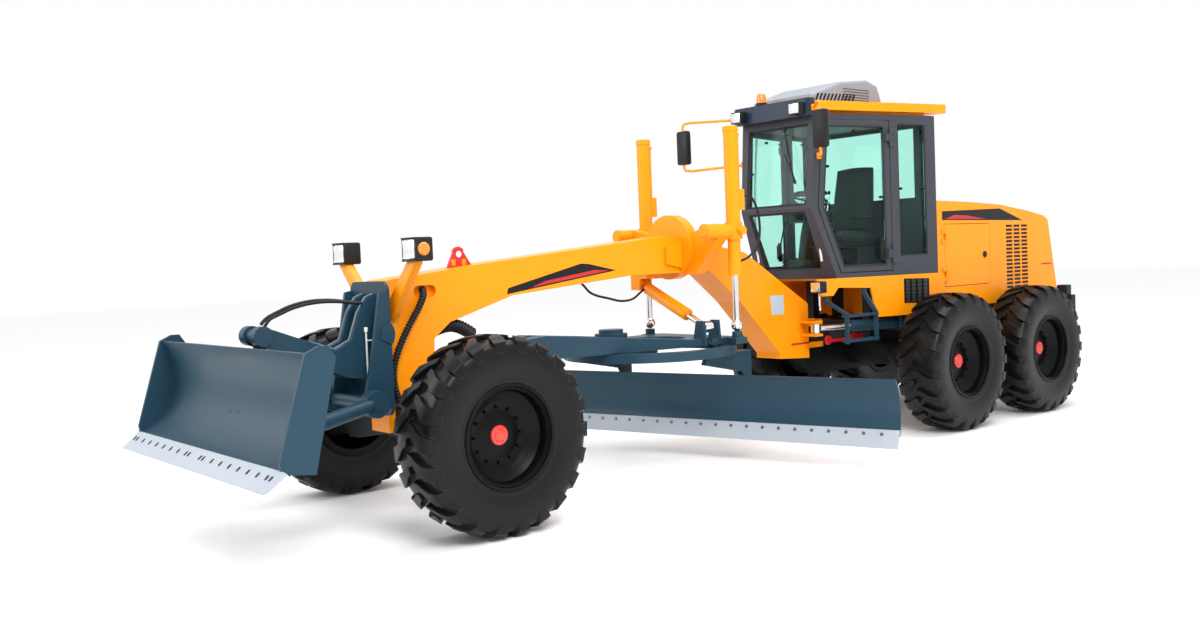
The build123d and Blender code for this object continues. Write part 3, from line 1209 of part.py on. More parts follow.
# Drawbar: two box beams from the ball at the nose to a cross plate over the circle
DRAWBAR_LOW = 1025
DRAWBAR_TOP = 1080
DRAWBAR_REAR = SADDLE_X - 310
CIRCLE_X = SADDLE_X + 321
SHIFT_EYE = (SADDLE_X + SHIFT_AHEAD, 430, 1185)
CIRCLE_RADIUS = 760
WEB_IN = 700              # inner radius of the circle's web
FLANGE_IN = 640           # and of the flange at its top
FLANGE_THICK = 25
CIRCLE_LOW = 945
CIRCLE_TOP = DRAWBAR_LOW - RUN_GAP
SHOE_ANGLES = (18, 143, 217, 342)
SHOE_TOP = CIRCLE_TOP - FLANGE_THICK - SEAT_GAP
SHOE_LOW = SHOE_TOP - 28
SHIFT_DRIFT = 46           # the drawbar moves forward past the eye as it swings
SHIFT_BACK = 8             # and back past it at first
with BuildPart() as drawbar:
    plan_slab(
        [
            (BALL[0] - 60, 60), (BALL[0] - 60, -60), (CIRCLE_X + 500, -330), (DRAWBAR_REAR + 300, -500),
            (DRAWBAR_REAR, -500), (DRAWBAR_REAR, 500), (DRAWBAR_REAR + 300, 500), (CIRCLE_X + 500, 330),
        ],
        900,
        1300,
    )
    with BuildSketch(Plane.XZ.offset(-600)):
        with BuildLine():
            Polyline(
                (DRAWBAR_REAR, DRAWBAR_LOW),
                (DRAWBAR_REAR, DRAWBAR_TOP),
                (SADDLE_X + 220, DRAWBAR_TOP + 8),
                (FRONT_X - 1150, 1215),
                (FRONT_X - 600, 1160),
                (BALL[0] - 60, BALL[1] + 45),
                (BALL[0] - 60, BALL[1] - 45),
                (FRONT_X - 800, DRAWBAR_LOW),
                close=True,
            )
        make_face()
    extrude(amount=1200, mode=Mode.INTERSECT)
    # open triangle between the beams, and the round opening over the circle
    plan_slab(
        [(BALL[0] - 500, 0), (CIRCLE_X + 640, -170), (CIRCLE_X + 640, 170)],
        DRAWBAR_LOW - 1,
        1300,
        Mode.SUBTRACT,
    )
    rod((CIRCLE_X - 80, 0, DRAWBAR_LOW - 1), (CIRCLE_X - 80, 0, 1300), 260, Mode.SUBTRACT)
    rod((BALL[0] - 100, 0, BALL[1]), (BALL[0], 0, BALL[1]), 40)
    with Locations((BALL[0], 0, BALL[1])):
        Sphere(BALL_RADIUS)
    # lift ball posts at the rear corners
    for sign in SIDES.values():
        lift_y = sign * LIFT_Y
        rod((LIFT_X, lift_y, DRAWBAR_LOW + 10), (LIFT_X, lift_y, LIFT_EYE_Z - 52 - RUN_GAP), 45)
        block((LIFT_X - 70, LIFT_X + 70), sorted((sign * 490, sign * 610)), (DRAWBAR_LOW, DRAWBAR_TOP))
    # bracket of the centre-shift cylinder, over a pocket that its eye can drop into
    block(
        (SHIFT_EYE[0] - EYE_HALF - RUN_GAP - SHIFT_DRIFT, SHIFT_EYE[0] + EYE_HALF + RUN_GAP + SHIFT_BACK),
        (280, SHIFT_EYE[1] + 60),
        (DRAWBAR_LOW - 1, DRAWBAR_TOP + 40),
        Mode.SUBTRACT,
    )
    rear_plate = SHIFT_EYE[0] - EYE_HALF - RUN_GAP - SHIFT_DRIFT - 25
    for x in (rear_plate, SHIFT_EYE[0] + EYE_HALF + RUN_GAP + SHIFT_BACK):
        cross_slab(
            [
                (340, DRAWBAR_LOW),
                (SHIFT_EYE[1] + 68, DRAWBAR_LOW),
                (SHIFT_EYE[1] + 50, SHIFT_EYE[2] + 55),
                (SHIFT_EYE[1] - 40, SHIFT_EYE[2] + 55),
            ],
            x,
            x + 25,
        )
    # shoes that hold the circle by its top flange
    for angle in SHOE_ANGLES:
        around = Location((CIRCLE_X, 0, 0), (0, 0, angle))
        with Locations(around * Location((FLANGE_IN - 31, 0, (SHOE_LOW + DRAWBAR_LOW) / 2))):
            Box(38, 100, DRAWBAR_LOW - SHOE_LOW + 10)
        with Locations(around * Location(((FLANGE_IN + WEB_IN) / 2 - 30, 0, (SHOE_LOW + SHOE_TOP) / 2))):
            Box(WEB_IN - FLANGE_IN + 40, 100, SHOE_TOP - SHOE_LOW)
    # circle drive on the cross plate
    drive_x = CIRCLE_X + 440
    rod((drive_x, 0, DRAWBAR_LOW + 20), (drive_x, 0, 1170), 140)
    rod((drive_x, 0, 1160), (drive_x, 0, 1205), 105)
save(drawbar.part, "drawbar")

# Circle: toothed ring under the drawbar, with the two blade arms
BLADE_TURN = 15.2          # how far the blade stands round from square, degrees
BLADE_BEHIND = 279         # circle's centre to the blade's chord
TILT_BEHIND = 560          # circle's centre to the tilt pins
TILT_Z = 330
ARM_Y = 620
ARM_THICK = 40
ARM_FACE = 520             # front edge of the arms' drop, behind the circle's centre


def turned(x, y, z=0):
    """Turn a point of the square-set blade to where it stands at rest."""
    angle = math.radians(BLADE_TURN)
    return (
        CIRCLE_X + x * math.cos(angle) - y * math.sin(angle),
        x * math.sin(angle) + y * math.cos(angle),
        z,
    )


blade_seat = Location((CIRCLE_X, 0, 0), (0, 0, BLADE_TURN))
with BuildPart() as circle:
    rod((0, 0, CIRCLE_LOW), (0, 0, CIRCLE_TOP), CIRCLE_RADIUS)
    rod((0, 0, CIRCLE_LOW - 1), (0, 0, CIRCLE_TOP - FLANGE_THICK), WEB_IN, Mode.SUBTRACT)
    rod((0, 0, CIRCLE_LOW), (0, 0, CIRCLE_TOP + 1), FLANGE_IN, Mode.SUBTRACT)
    for sign in SIDES.values():
        side_slab(
            [
                (150, CIRCLE_LOW + 1),
                (190, CIRCLE_LOW - 55),
                (-ARM_FACE + 60, CIRCLE_LOW - 175),
                (-ARM_FACE, CIRCLE_LOW - 260),
                (-ARM_FACE, TILT_Z - 55),
                (-TILT_BEHIND - 50, TILT_Z - 55),
                (-TILT_BEHIND - 85, TILT_Z + 60),
                (-TILT_BEHIND - 85, CIRCLE_LOW + 1),
            ],
            *sorted((sign * ARM_Y, sign * (ARM_Y + ARM_THICK))),
        )
        block(
            (-TILT_BEHIND - 85, -300),
            sorted((sign * (ARM_Y - 300), sign * (ARM_Y + ARM_THICK))),
            (CIRCLE_LOW - 40, CIRCLE_LOW + 1),
        )
        rod((-TILT_BEHIND, sign * (ARM_Y + 1), TILT_Z), (-TILT_BEHIND, sign * (ARM_Y - 80), TILT_Z), 40)
save(circle.part.moved(blade_seat), "circle")

# Tilt brackets: swing on the arms' pins, carry the rails and the side-shift barrel
MOLDBOARD_LENGTH = 4070
MOLDBOARD_RADIUS = 413
MOLDBOARD_LOW = 290
MOLDBOARD_TOP = 756
MOLDBOARD_PLATE = 20
MOLDBOARD_DEEP = 108       # how far the hollow face lies behind its chord
EDGE_LOW = 200
EDGE_TOP = 340
SHIFT_BARREL_Z = 545
SHIFT_ROD_X = -455
SHIFT_ROD_INNER = -50
RAILS = ((400, 108), (690, 66))  # height, and where the rail meets the plate behind the chord
RAIL_X = -BLADE_BEHIND - 150
SIDE_SHIFT_REST = 76
with BuildPart() as tilt_bracket:
    for sign in SIDES.values():
        y_pair = sorted((sign * (ARM_Y - RUN_GAP), sign * (ARM_Y - 75)))
        side_slab(
            [
                (-TILT_BEHIND - 55, TILT_Z - 55),
                (-TILT_BEHIND - 45, 640),
                (-TILT_BEHIND + 30, 730),
                (RAIL_X - 22 - SEAT_GAP, 730),
                (RAIL_X - 22 - SEAT_GAP, TILT_Z + 30),
                (-TILT_BEHIND + 55, TILT_Z - 55),
            ],
            *y_pair,
        )
        rod(
            (-TILT_BEHIND, y_pair[0] - 1, TILT_Z),
            (-TILT_BEHIND, y_pair[1] + 1, TILT_Z),
            40 + PIN_GAP,
            Mode.SUBTRACT,
        )
    rod((SHIFT_ROD_X, -ARM_Y + 70, SHIFT_BARREL_Z), (SHIFT_ROD_X, ARM_Y - 70, SHIFT_BARREL_Z), 46)
    rod(
        (SHIFT_ROD_X, SHIFT_ROD_INNER - 460, SHIFT_BARREL_Z),
        (SHIFT_ROD_X, ARM_Y, SHIFT_BARREL_Z),
        ROD_RADIUS + PIN_GAP,
        Mode.SUBTRACT,
    )
save(tilt_bracket.part.moved(blade_seat), "tilt_bracket")

half = MOLDBOARD_LENGTH / 2
left_end = SIDE_SHIFT_REST + half
right_end = SIDE_SHIFT_REST - half
chord_x = -BLADE_BEHIND
blade_middle = (MOLDBOARD_TOP + EDGE_LOW) / 2


def blade_x(z, depth=0):
    """X of the hollow face at a height, or of a surface a depth behind it."""
    radius = MOLDBOARD_RADIUS + depth
    centre = chord_x - MOLDBOARD_DEEP + MOLDBOARD_RADIUS
    return centre - math.sqrt(radius**2 - (z - blade_middle) ** 2)


with BuildPart() as moldboard:
    with BuildSketch(Plane.XZ.offset(-left_end)):
        with BuildLine():
            front = [(blade_x(z), z) for z in (MOLDBOARD_TOP, blade_middle, MOLDBOARD_LOW)]
            back = [(blade_x(z, MOLDBOARD_PLATE), z) for z in (MOLDBOARD_LOW, blade_middle, MOLDBOARD_TOP)]
            ThreePointArc(*front)
            Line(front[2], back[0])
            ThreePointArc(*back)
            Line(back[2], front[0])
        make_face()
    extrude(amount=MOLDBOARD_LENGTH)
    # rails along the back
    for z, reach in RAILS:
        rail_y = (-1160 + SIDE_SHIFT_REST, 1160 + SIDE_SHIFT_REST)
        block((RAIL_X - 22, chord_x - reach), rail_y, (z - 25, z + 25))
    # side-shift rod on its bracket
    rod_x = SHIFT_ROD_X
    rod((rod_x, SHIFT_ROD_INNER, SHIFT_BARREL_Z), (rod_x, left_end - 700, SHIFT_BARREL_Z), ROD_RADIUS)
    ear_z = (SHIFT_BARREL_Z - 50, SHIFT_BARREL_Z + 50)
    block((rod_x - 40, chord_x - 110), (left_end - 710, left_end - 670), ear_z)
    # cutting edge, a flat bar bolted to the foot of the hollow face
    rake = (blade_x(MOLDBOARD_LOW) - blade_x(EDGE_TOP)) / (EDGE_TOP - MOLDBOARD_LOW)
    edge_foot = blade_x(MOLDBOARD_LOW) + rake * (MOLDBOARD_LOW - EDGE_LOW)
    side_slab(
        [
            (blade_x(EDGE_TOP) + SEAT_GAP, EDGE_TOP),
            (blade_x(EDGE_TOP) + EDGE_THICK, EDGE_TOP),
            (edge_foot + EDGE_THICK, EDGE_LOW),
            (edge_foot + SEAT_GAP, EDGE_LOW),
        ],
        right_end,
        left_end,
    )
save(moldboard.part.moved(blade_seat), "moldboard")

# Centre-shift cylinder, from the saddle's lobe to the drawbar's bracket
SHIFT_BARREL = 640         # head eye to mouth
SHIFT_INNER = 262          # head eye to the rod's inner end
anchor = (SHIFT_EYE[0], *SHIFT_HEAD)
with BuildPart() as centre_shift_barrel:
    cylinder_barrel(anchor, SHIFT_EYE, SHIFT_BARREL, BARREL_RADIUS, (1, 0, 0), HEAD_EYE_HALF)
save(centre_shift_barrel.part, "centre_shift_barrel")
with BuildPart() as centre_shift_rod:
    cylinder_rod(anchor, SHIFT_EYE, SHIFT_INNER, (1, 0, 0), EYE_HALF)
save(centre_shift_rod.part, "centre_shift_rod")

# Hoses: the ribbed one down the leg, and one over to the forward arm


def hose(points, radius):
    """Sweep a tube along straight runs joined by the largest tangent arcs."""
    stops = [Vector(*point) for point in points]
    bends = []
    for before, here, after in zip(stops, stops[1:], stops[2:]):
        turn = math.radians((here - before).get_angle(after - here))
        shorter = min((here - before).length, (after - here).length)
        bends.append(0.45 * shorter / math.tan(turn / 2))
    print("bend radii", [round(bend) for bend in bends])
    with BuildPart() as tube:
        with BuildLine() as path:
            FilletPolyline(*stops, radius=bends)
        with BuildSketch(path.line ^ 0):
            Circle(radius)
        sweep()
    print("volume ratio", round(tube.part.volume / (math.pi * radius**2 * path.wires()[0].length), 4))
    return tube.part


LEG_HOSE = [
    (FRONT_X - 80, BEAM_HALF - POCKET_DEEP + 10, 1645),
    (FRONT_X - 66, 170, 1618),
    (FRONT_X - 5, 201, 1525),
    (FRONT_X + 105, 200, 1373),
    (FRONT_X + 187, 197, 1225),
    (FRONT_X + 232, 193, 1100),
    (FRONT_X + 233, 188, 990),
    (FRONT_X + 210, 186, 890),
    (FRONT_X + 168, 184, 798),
]
save(hose(LEG_HOSE, 24), "leg_hose")

HOSE_FOOT = TOWER_BACK + 25 + SEAT_GAP
DOZER_HOSE_RUN = (
    # share of the way to the arm's tip, Y, Z
    (0, 24, 1567),
    (0.138, 24, 1567),
    (0.332, 30, 1598),
    (0.532, 42, 1604),
    (0.72, 54, 1580),
    (0.867, 66, 1532),
    (0.959, 74, 1500),
    (0.993, 78, 1464),
)
DOZER_HOSE = [(HOSE_FOOT + share * (ARM_TIP[0] - HOSE_FOOT), y, z) for share, y, z in DOZER_HOSE_RUN]
save(hose(DOZER_HOSE, 12), "dozer_hose")
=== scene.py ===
"""Motor grader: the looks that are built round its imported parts."""

import json
import logging
from dataclasses import dataclass
from enum import Enum
from functools import cache
from math import cos, pi, radians, sin

import bmesh
import bpy
from bmesh.types import BMesh, BMFace
from bpy.types import Material, Mesh, Node, NodeSocket, NodeTree, Object, bpy_prop_collection
from mathutils import Matrix, Vector


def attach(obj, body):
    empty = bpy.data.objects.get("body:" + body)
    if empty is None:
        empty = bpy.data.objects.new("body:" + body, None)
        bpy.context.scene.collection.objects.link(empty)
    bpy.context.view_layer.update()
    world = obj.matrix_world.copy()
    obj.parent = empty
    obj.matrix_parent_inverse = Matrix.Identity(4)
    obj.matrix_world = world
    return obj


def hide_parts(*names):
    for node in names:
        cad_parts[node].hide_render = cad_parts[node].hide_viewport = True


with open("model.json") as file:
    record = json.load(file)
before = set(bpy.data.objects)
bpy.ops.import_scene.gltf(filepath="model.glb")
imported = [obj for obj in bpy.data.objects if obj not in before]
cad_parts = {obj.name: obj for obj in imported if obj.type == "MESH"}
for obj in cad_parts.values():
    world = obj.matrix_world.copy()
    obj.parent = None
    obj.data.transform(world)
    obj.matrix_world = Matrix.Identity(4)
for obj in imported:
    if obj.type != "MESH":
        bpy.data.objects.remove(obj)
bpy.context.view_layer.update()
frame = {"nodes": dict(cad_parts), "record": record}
LOG = logging.getLogger("grader")
logging.basicConfig(level=logging.INFO, format="%(message)s")

Point = tuple[float, float, float]
Flat = list[tuple[float, float]]
TANDEM_X = -2.8795
FRONT_X = 3.3395
SADDLE_X = 0.5995
LIFT_X = 0.3945
CAB_REAR = 570
CAB_LENGTH = 1.51
CAB_REAR_HALF = 0.81
CAB_NOSE_HALF = 0.44
FULL_TURN = 2 * pi
SIDES: dict[str, int] = {"left": 1, "right": -1}


class Axis(Enum):
    """Unit vectors that shapes are turned about or laid along."""

    X = (1.0, 0.0, 0.0)
    Y = (0.0, 1.0, 0.0)
    Z = (0.0, 0.0, 1.0)


def tandem(x: float) -> float:
    """X in metres of a place given in millimetres ahead of the tandem's centre."""
    return TANDEM_X + x / 1000


def front(x: float) -> float:
    """X in metres of a place given in millimetres ahead of the front axle."""
    return FRONT_X + x / 1000


def cab_half(x: float) -> float:
    """Half width in metres of the tapering cab, x millimetres ahead of the tandem's centre."""
    return CAB_REAR_HALF - (tandem(x) - tandem(CAB_REAR)) * (CAB_REAR_HALF - CAB_NOSE_HALF) / CAB_LENGTH


def opaque(colour: Point, factor: float = 1.0) -> tuple[float, float, float, float]:
    """A colour made lighter or darker by a factor, without transparency."""
    return (*[min(1.0, c * factor) for c in colour], 1.0)


def in_scene(name: str, data: bpy.types.ID) -> Object:
    """Make an object of a mesh, curve, light or camera and link it to the scene."""
    made = bpy.data.objects.new(name, data)
    bpy.context.scene.collection.objects.link(made)
    return made


def evaluated(holder: Object) -> Mesh:
    """The mesh that an object's modifiers or splines give; the object itself is removed."""
    graph = bpy.context.evaluated_depsgraph_get()
    mesh = bpy.data.meshes.new_from_object(holder.evaluated_get(graph), depsgraph=graph)
    bpy.data.objects.remove(holder)
    return mesh


class Wiring:
    """Adds nodes to a tree, each with its values and links in one call."""

    def __init__(self, tree: NodeTree) -> None:
        """Take the tree that is worked on."""
        self.tree = tree

    def fill(self, node: Node, given: dict[str | int, object]) -> None:
        """Give a node's inputs their values, or link them to other nodes' outputs."""
        for key, value in given.items():
            if isinstance(value, NodeSocket):
                self.tree.links.new(value, node.inputs[key])
            else:
                node.inputs[key].default_value = value

    def add(self, kind: str, given: dict[str | int, object], **settings: object) -> bpy_prop_collection:
        """Add a node.

        Args:
            kind: Its Blender type.
            given: Values and links for its inputs, by name or number.
            settings: The node's own properties.

        Returns:
            Its outputs.
        """
        node = self.tree.nodes.new(kind)
        for key, value in settings.items():
            setattr(node, key, value)
        self.fill(node, given)
        return node.outputs

    def times(self, a: object, b: object) -> NodeSocket:
        """Multiply two numbers or links."""
        return self.add("ShaderNodeMath", {0: a, 1: b}, operation="MULTIPLY")["Value"]

    def mix(self, share: object, a: object, b: object) -> NodeSocket:
        """Blend colour a into colour b by a share; the numbers are the node's colour sockets."""
        return self.add("ShaderNodeMix", {0: share, 6: a, 7: b}, data_type="RGBA")[2]

    @classmethod
    def material(cls, name: str, given: dict[str, float]) -> tuple[Material, "Wiring", bpy_prop_collection]:
        """Start a material with the shared masks.

        Args:
            name: Material name.
            given: Values for the mask group's inputs.

        Returns:
            The material, its wiring, and the mask group's outputs.
        """
        material = bpy.data.materials.new(name)
        material.use_nodes = True
        nodes = cls(material.node_tree)
        return material, nodes, nodes.add("ShaderNodeGroup", given, node_tree=SurfaceMasks.tree())


class SurfaceMasks:
    """Shader node group with the grain, patches and edges that every finish shares."""

    NAME = "surface_masks"
    INPUTS = (("Grain Scale", 90.0), ("Edge Radius", 0.006), ("Splash Height", 0.5))
    PATCH_SCALE = 2.3
    # cosine between the rounded and the flat normal where wear starts, and where it is full
    WEAR_STARTS = 0.995
    WEAR_FULL = 0.75

    @classmethod
    @cache
    def tree(cls) -> NodeTree:
        """Build the group once and hand it out.

        Returns:
            The shader node tree with outputs Grain, Patches, Edges, Low and Normal.
        """
        tree = bpy.data.node_groups.new(cls.NAME, "ShaderNodeTree")
        socket = tree.interface.new_socket
        for label, value in cls.INPUTS:
            socket(name=label, in_out="INPUT", socket_type="NodeSocketFloat").default_value = value
        for label in ("Grain", "Patches", "Edges", "Low"):
            socket(name=label, in_out="OUTPUT", socket_type="NodeSocketFloat")
        socket(name="Normal", in_out="OUTPUT", socket_type="NodeSocketVector")
        nodes = Wiring(tree)
        given = nodes.add("NodeGroupInput", {})
        place = nodes.add("ShaderNodeTexCoord", {})["Object"]
        fine = {"Detail": 4.0, "Vector": place, "Scale": given["Grain Scale"]}
        coarse = {"Detail": 5.0, "Vector": place, "Scale": cls.PATCH_SCALE}
        grain = nodes.add("ShaderNodeTexNoise", fine)["Fac"]
        patches = nodes.add("ShaderNodeTexNoise", coarse)["Fac"]
        rounded = nodes.add("ShaderNodeBevel", {"Radius": given["Edge Radius"]}, samples=4)["Normal"]
        flat = nodes.add("ShaderNodeNewGeometry", {})["Normal"]
        facing = nodes.add("ShaderNodeVectorMath", {0: rounded, 1: flat}, operation="DOT_PRODUCT")["Value"]
        turned = {"From Min": cls.WEAR_STARTS, "From Max": cls.WEAR_FULL, "Value": facing}
        edges = nodes.add("ShaderNodeMapRange", turned)["Result"]
        height = nodes.add("ShaderNodeSeparateXYZ", {"Vector": place})["Z"]
        fading = {"To Min": 1.0, "To Max": 0.0, "Value": height, "From Max": given["Splash Height"]}
        low = nodes.add("ShaderNodeMapRange", fading)["Result"]
        nodes.add("NodeGroupOutput", {
            "Grain": grain, "Patches": patches, "Edges": nodes.times(edges, grain),
            "Low": nodes.times(low, patches), "Normal": rounded,
        })
        return tree


@dataclass(frozen=True)
class Finish:
    """A paint, plastic, rubber or metal surface.

    Attributes:
        name: Material name.
        colour: Base colour, linear.
        roughness: Mean roughness.
        metallic: Metallic value.
        coat: Clear coat weight.
        worn: Colour that shows along edges.
        wear: How much of it shows, 0 to 1.
        grain_scale: Size of the fine grain, per metre.
        grain_depth: Depth of the fine grain in metres.
        dust: How much pale dust lies low down, 0 to 1.
        edge: Radius by which shading rounds an edge, in metres.
        shine: Specular level, 0.5 for a common dielectric.
        slot: Record slot that pieces in this finish use.
    """

    name: str
    colour: Point
    roughness: float = 0.4
    metallic: float = 0.0
    coat: float = 0.0
    worn: Point = (0.3, 0.3, 0.3)
    wear: float = 0.15
    grain_scale: float = 220.0
    grain_depth: float = 0.00015
    dust: float = 0.0
    edge: float = 0.006
    shine: float = 0.5
    slot: str = "yellow"

    PATCH_SHADES = (0.9, 1.08)
    DUST = (0.32, 0.29, 0.25)
    GRAIN_STRENGTH = 0.35
    COAT_ROUGHNESS = 0.08
    LEAST_ROUGHNESS = 0.02
    GLOSSIER = 0.08
    DULLER = 0.1

    @cache
    def material(self) -> Material:
        """Build the material once and hand it out."""
        given = {"Grain Scale": self.grain_scale, "Edge Radius": self.edge}
        material, nodes, masks = Wiring.material(self.name, given)
        darker, lighter = (opaque(self.colour, factor) for factor in self.PATCH_SHADES)
        shade = nodes.mix(masks["Patches"], darker, lighter)
        edged = nodes.mix(nodes.times(masks["Edges"], self.wear), shade, opaque(self.worn))
        dusty = nodes.mix(nodes.times(masks["Low"], self.dust), edged, opaque(self.DUST))
        least = max(self.LEAST_ROUGHNESS, self.roughness - self.GLOSSIER)
        most = min(1.0, self.roughness + self.DULLER)
        gloss = nodes.add("ShaderNodeMapRange", {"To Min": least, "To Max": most, "Value": masks["Patches"]})
        bump = nodes.add("ShaderNodeBump", {
            "Strength": self.GRAIN_STRENGTH, "Distance": self.grain_depth,
            "Height": masks["Grain"], "Normal": masks["Normal"],
        })
        nodes.fill(material.node_tree.nodes["Principled BSDF"], {
            "Base Color": dusty, "Roughness": gloss["Result"], "Normal": bump["Normal"],
            "Metallic": self.metallic, "Specular IOR Level": self.shine,
            "Coat Weight": self.coat, "Coat Roughness": self.COAT_ROUGHNESS,
        })
        return material


@dataclass(frozen=True)
class ClearFinish:
    """Glass or a clear lens: a tint that light passes through."""

    name: str
    colour: Point
    roughness: float = 0.02
    slot: str = "glass"

    SMEAR = 0.03
    IOR = 1.2
    PALER = 1.1

    @cache
    def material(self) -> Material:
        """Build the material once and hand it out."""
        material, nodes, masks = Wiring.material(self.name, {"Edge Radius": 0.0})
        patches = masks["Patches"]
        smear = {"To Min": self.roughness, "To Max": self.roughness + self.SMEAR, "Value": patches}
        nodes.fill(material.node_tree.nodes["Principled BSDF"], {
            "Base Color": nodes.mix(patches, opaque(self.colour), opaque(self.colour, self.PALER)),
            "Roughness": nodes.add("ShaderNodeMapRange", smear)["Result"],
            "Transmission Weight": 1.0, "IOR": self.IOR,
        })
        return material


YELLOW = Finish(
    "yellow_enamel", (0.95, 0.29, 0.001), 0.36, coat=0.12, worn=(1.0, 0.42, 0.03), wear=0.2, shine=0.2,
)
SLATE = Finish(
    "slate_enamel", (0.013, 0.046, 0.074), 0.42, coat=0.06, worn=(0.09, 0.15, 0.19), wear=0.4, shine=0.22,
    slot="slate",
)
EDGE_STEEL = Finish(
    "pale_edge_steel", (0.38, 0.42, 0.47), 0.55, metallic=0.1, shine=0.3, worn=(0.3, 0.3, 0.34), wear=0.5,
    grain_scale=160.0, slot="slate",
)
TYRE_RUBBER = Finish(
    "tyre_rubber", (0.004, 0.004, 0.0045), 0.34, worn=(0.03, 0.03, 0.034), wear=0.5,
    grain_scale=340.0, grain_depth=0.0003, dust=0.01, shine=0.2, slot="tyre",
)
RIM_BLACK = Finish(
    "rim_gloss_black", (0.0025, 0.0025, 0.003), 0.34, worn=(0.03, 0.03, 0.03), dust=0.01, shine=0.12,
    slot="rim_black",
)
CAP_RED = Finish("cap_red", (0.62, 0.035, 0.025), 0.35, coat=0.3, worn=(0.5, 0.1, 0.08), slot="rim_black")
FRAME_BLACK = Finish("chassis_black", (0.012, 0.013, 0.015), 0.5, wear=0.3, shine=0.2, slot="black_frame")
CAB_GREY = Finish(
    "cab_grey_enamel", (0.045, 0.048, 0.06), 0.45, worn=(0.12, 0.12, 0.14), wear=0.4, shine=0.25,
    slot="cab_grey",
)
SEAL_BLACK = Finish("seal_rubber", (0.012, 0.012, 0.013), 0.6, grain_scale=500.0, edge=0.002, slot="hose")
VISOR_NAVY = Finish("visor_navy", (0.012, 0.022, 0.044), 0.38, coat=0.08, shine=0.25, slot="visor")
PALE_GREY = Finish("pale_grey_moulding", (0.24, 0.26, 0.29), 0.5, worn=(0.5, 0.5, 0.52), slot="pale_grey")
CHROME = Finish(
    "hard_chrome", (0.82, 0.84, 0.86), 0.14, metallic=1.0, wear=0.05, grain_depth=0.00002, slot="chrome",
)
BLACK_PLASTIC = Finish(
    "black_plastic", (0.008, 0.010, 0.012), 0.42, grain_scale=600.0, edge=0.003, shine=0.25, slot="visor",
)
HOSE_BLACK = Finish(
    "hose_rubber", (0.010, 0.011, 0.013), 0.5, grain_scale=420.0, edge=0.0, shine=0.25, slot="hose",
)
WHITE_PAINT = Finish("white_paint", (0.8, 0.8, 0.78), 0.4, edge=0.002, slot="pale_grey")
RED_PAINT = Finish("red_paint", (0.5, 0.008, 0.010), 0.4, edge=0.002, slot="rim_black")
STRIPE_BLACK = Finish("stripe_black", (0.008, 0.008, 0.010), 0.4, edge=0.0, shine=0.2, slot="visor")
GREASED_STEEL = Finish(
    "greased_steel", (0.12, 0.12, 0.13), 0.35, metallic=0.7, worn=(0.4, 0.4, 0.4), wear=0.5,
    slot="black_frame",
)
SEAT_CLOTH = Finish(
    "seat_weave", (0.03, 0.032, 0.036), 0.85, grain_scale=700.0, grain_depth=0.0012, edge=0.0,
    slot="seat_cloth",
)
CAB_GLASS = ClearFinish("tinted_glass", (0.62, 0.90, 0.83))
LABEL_GREY = Finish("label_plate", (0.42, 0.50, 0.56), 0.45, edge=0.0, slot="pale_grey")
PIPE_STEEL = Finish("pipe_steel", (0.16, 0.22, 0.27), 0.35, wear=0.1, shine=0.4, slot="pale_grey")
GRID_GREY = Finish("grid_grey", (0.035, 0.037, 0.04), 0.45, wear=0.2, shine=0.25, slot="pale_grey")
AMBER = Finish("amber_lens", (1.0, 0.22, 0.01), 0.2, coat=0.6, edge=0.003, slot="lamp")
RED_LENS = Finish("red_lens", (0.6, 0.01, 0.01), 0.2, coat=0.6, edge=0.003, slot="lamp")
REFLECTOR = Finish("lamp_reflector", (0.85, 0.86, 0.88), 0.12, metallic=0.9, edge=0.0, slot="lamp")


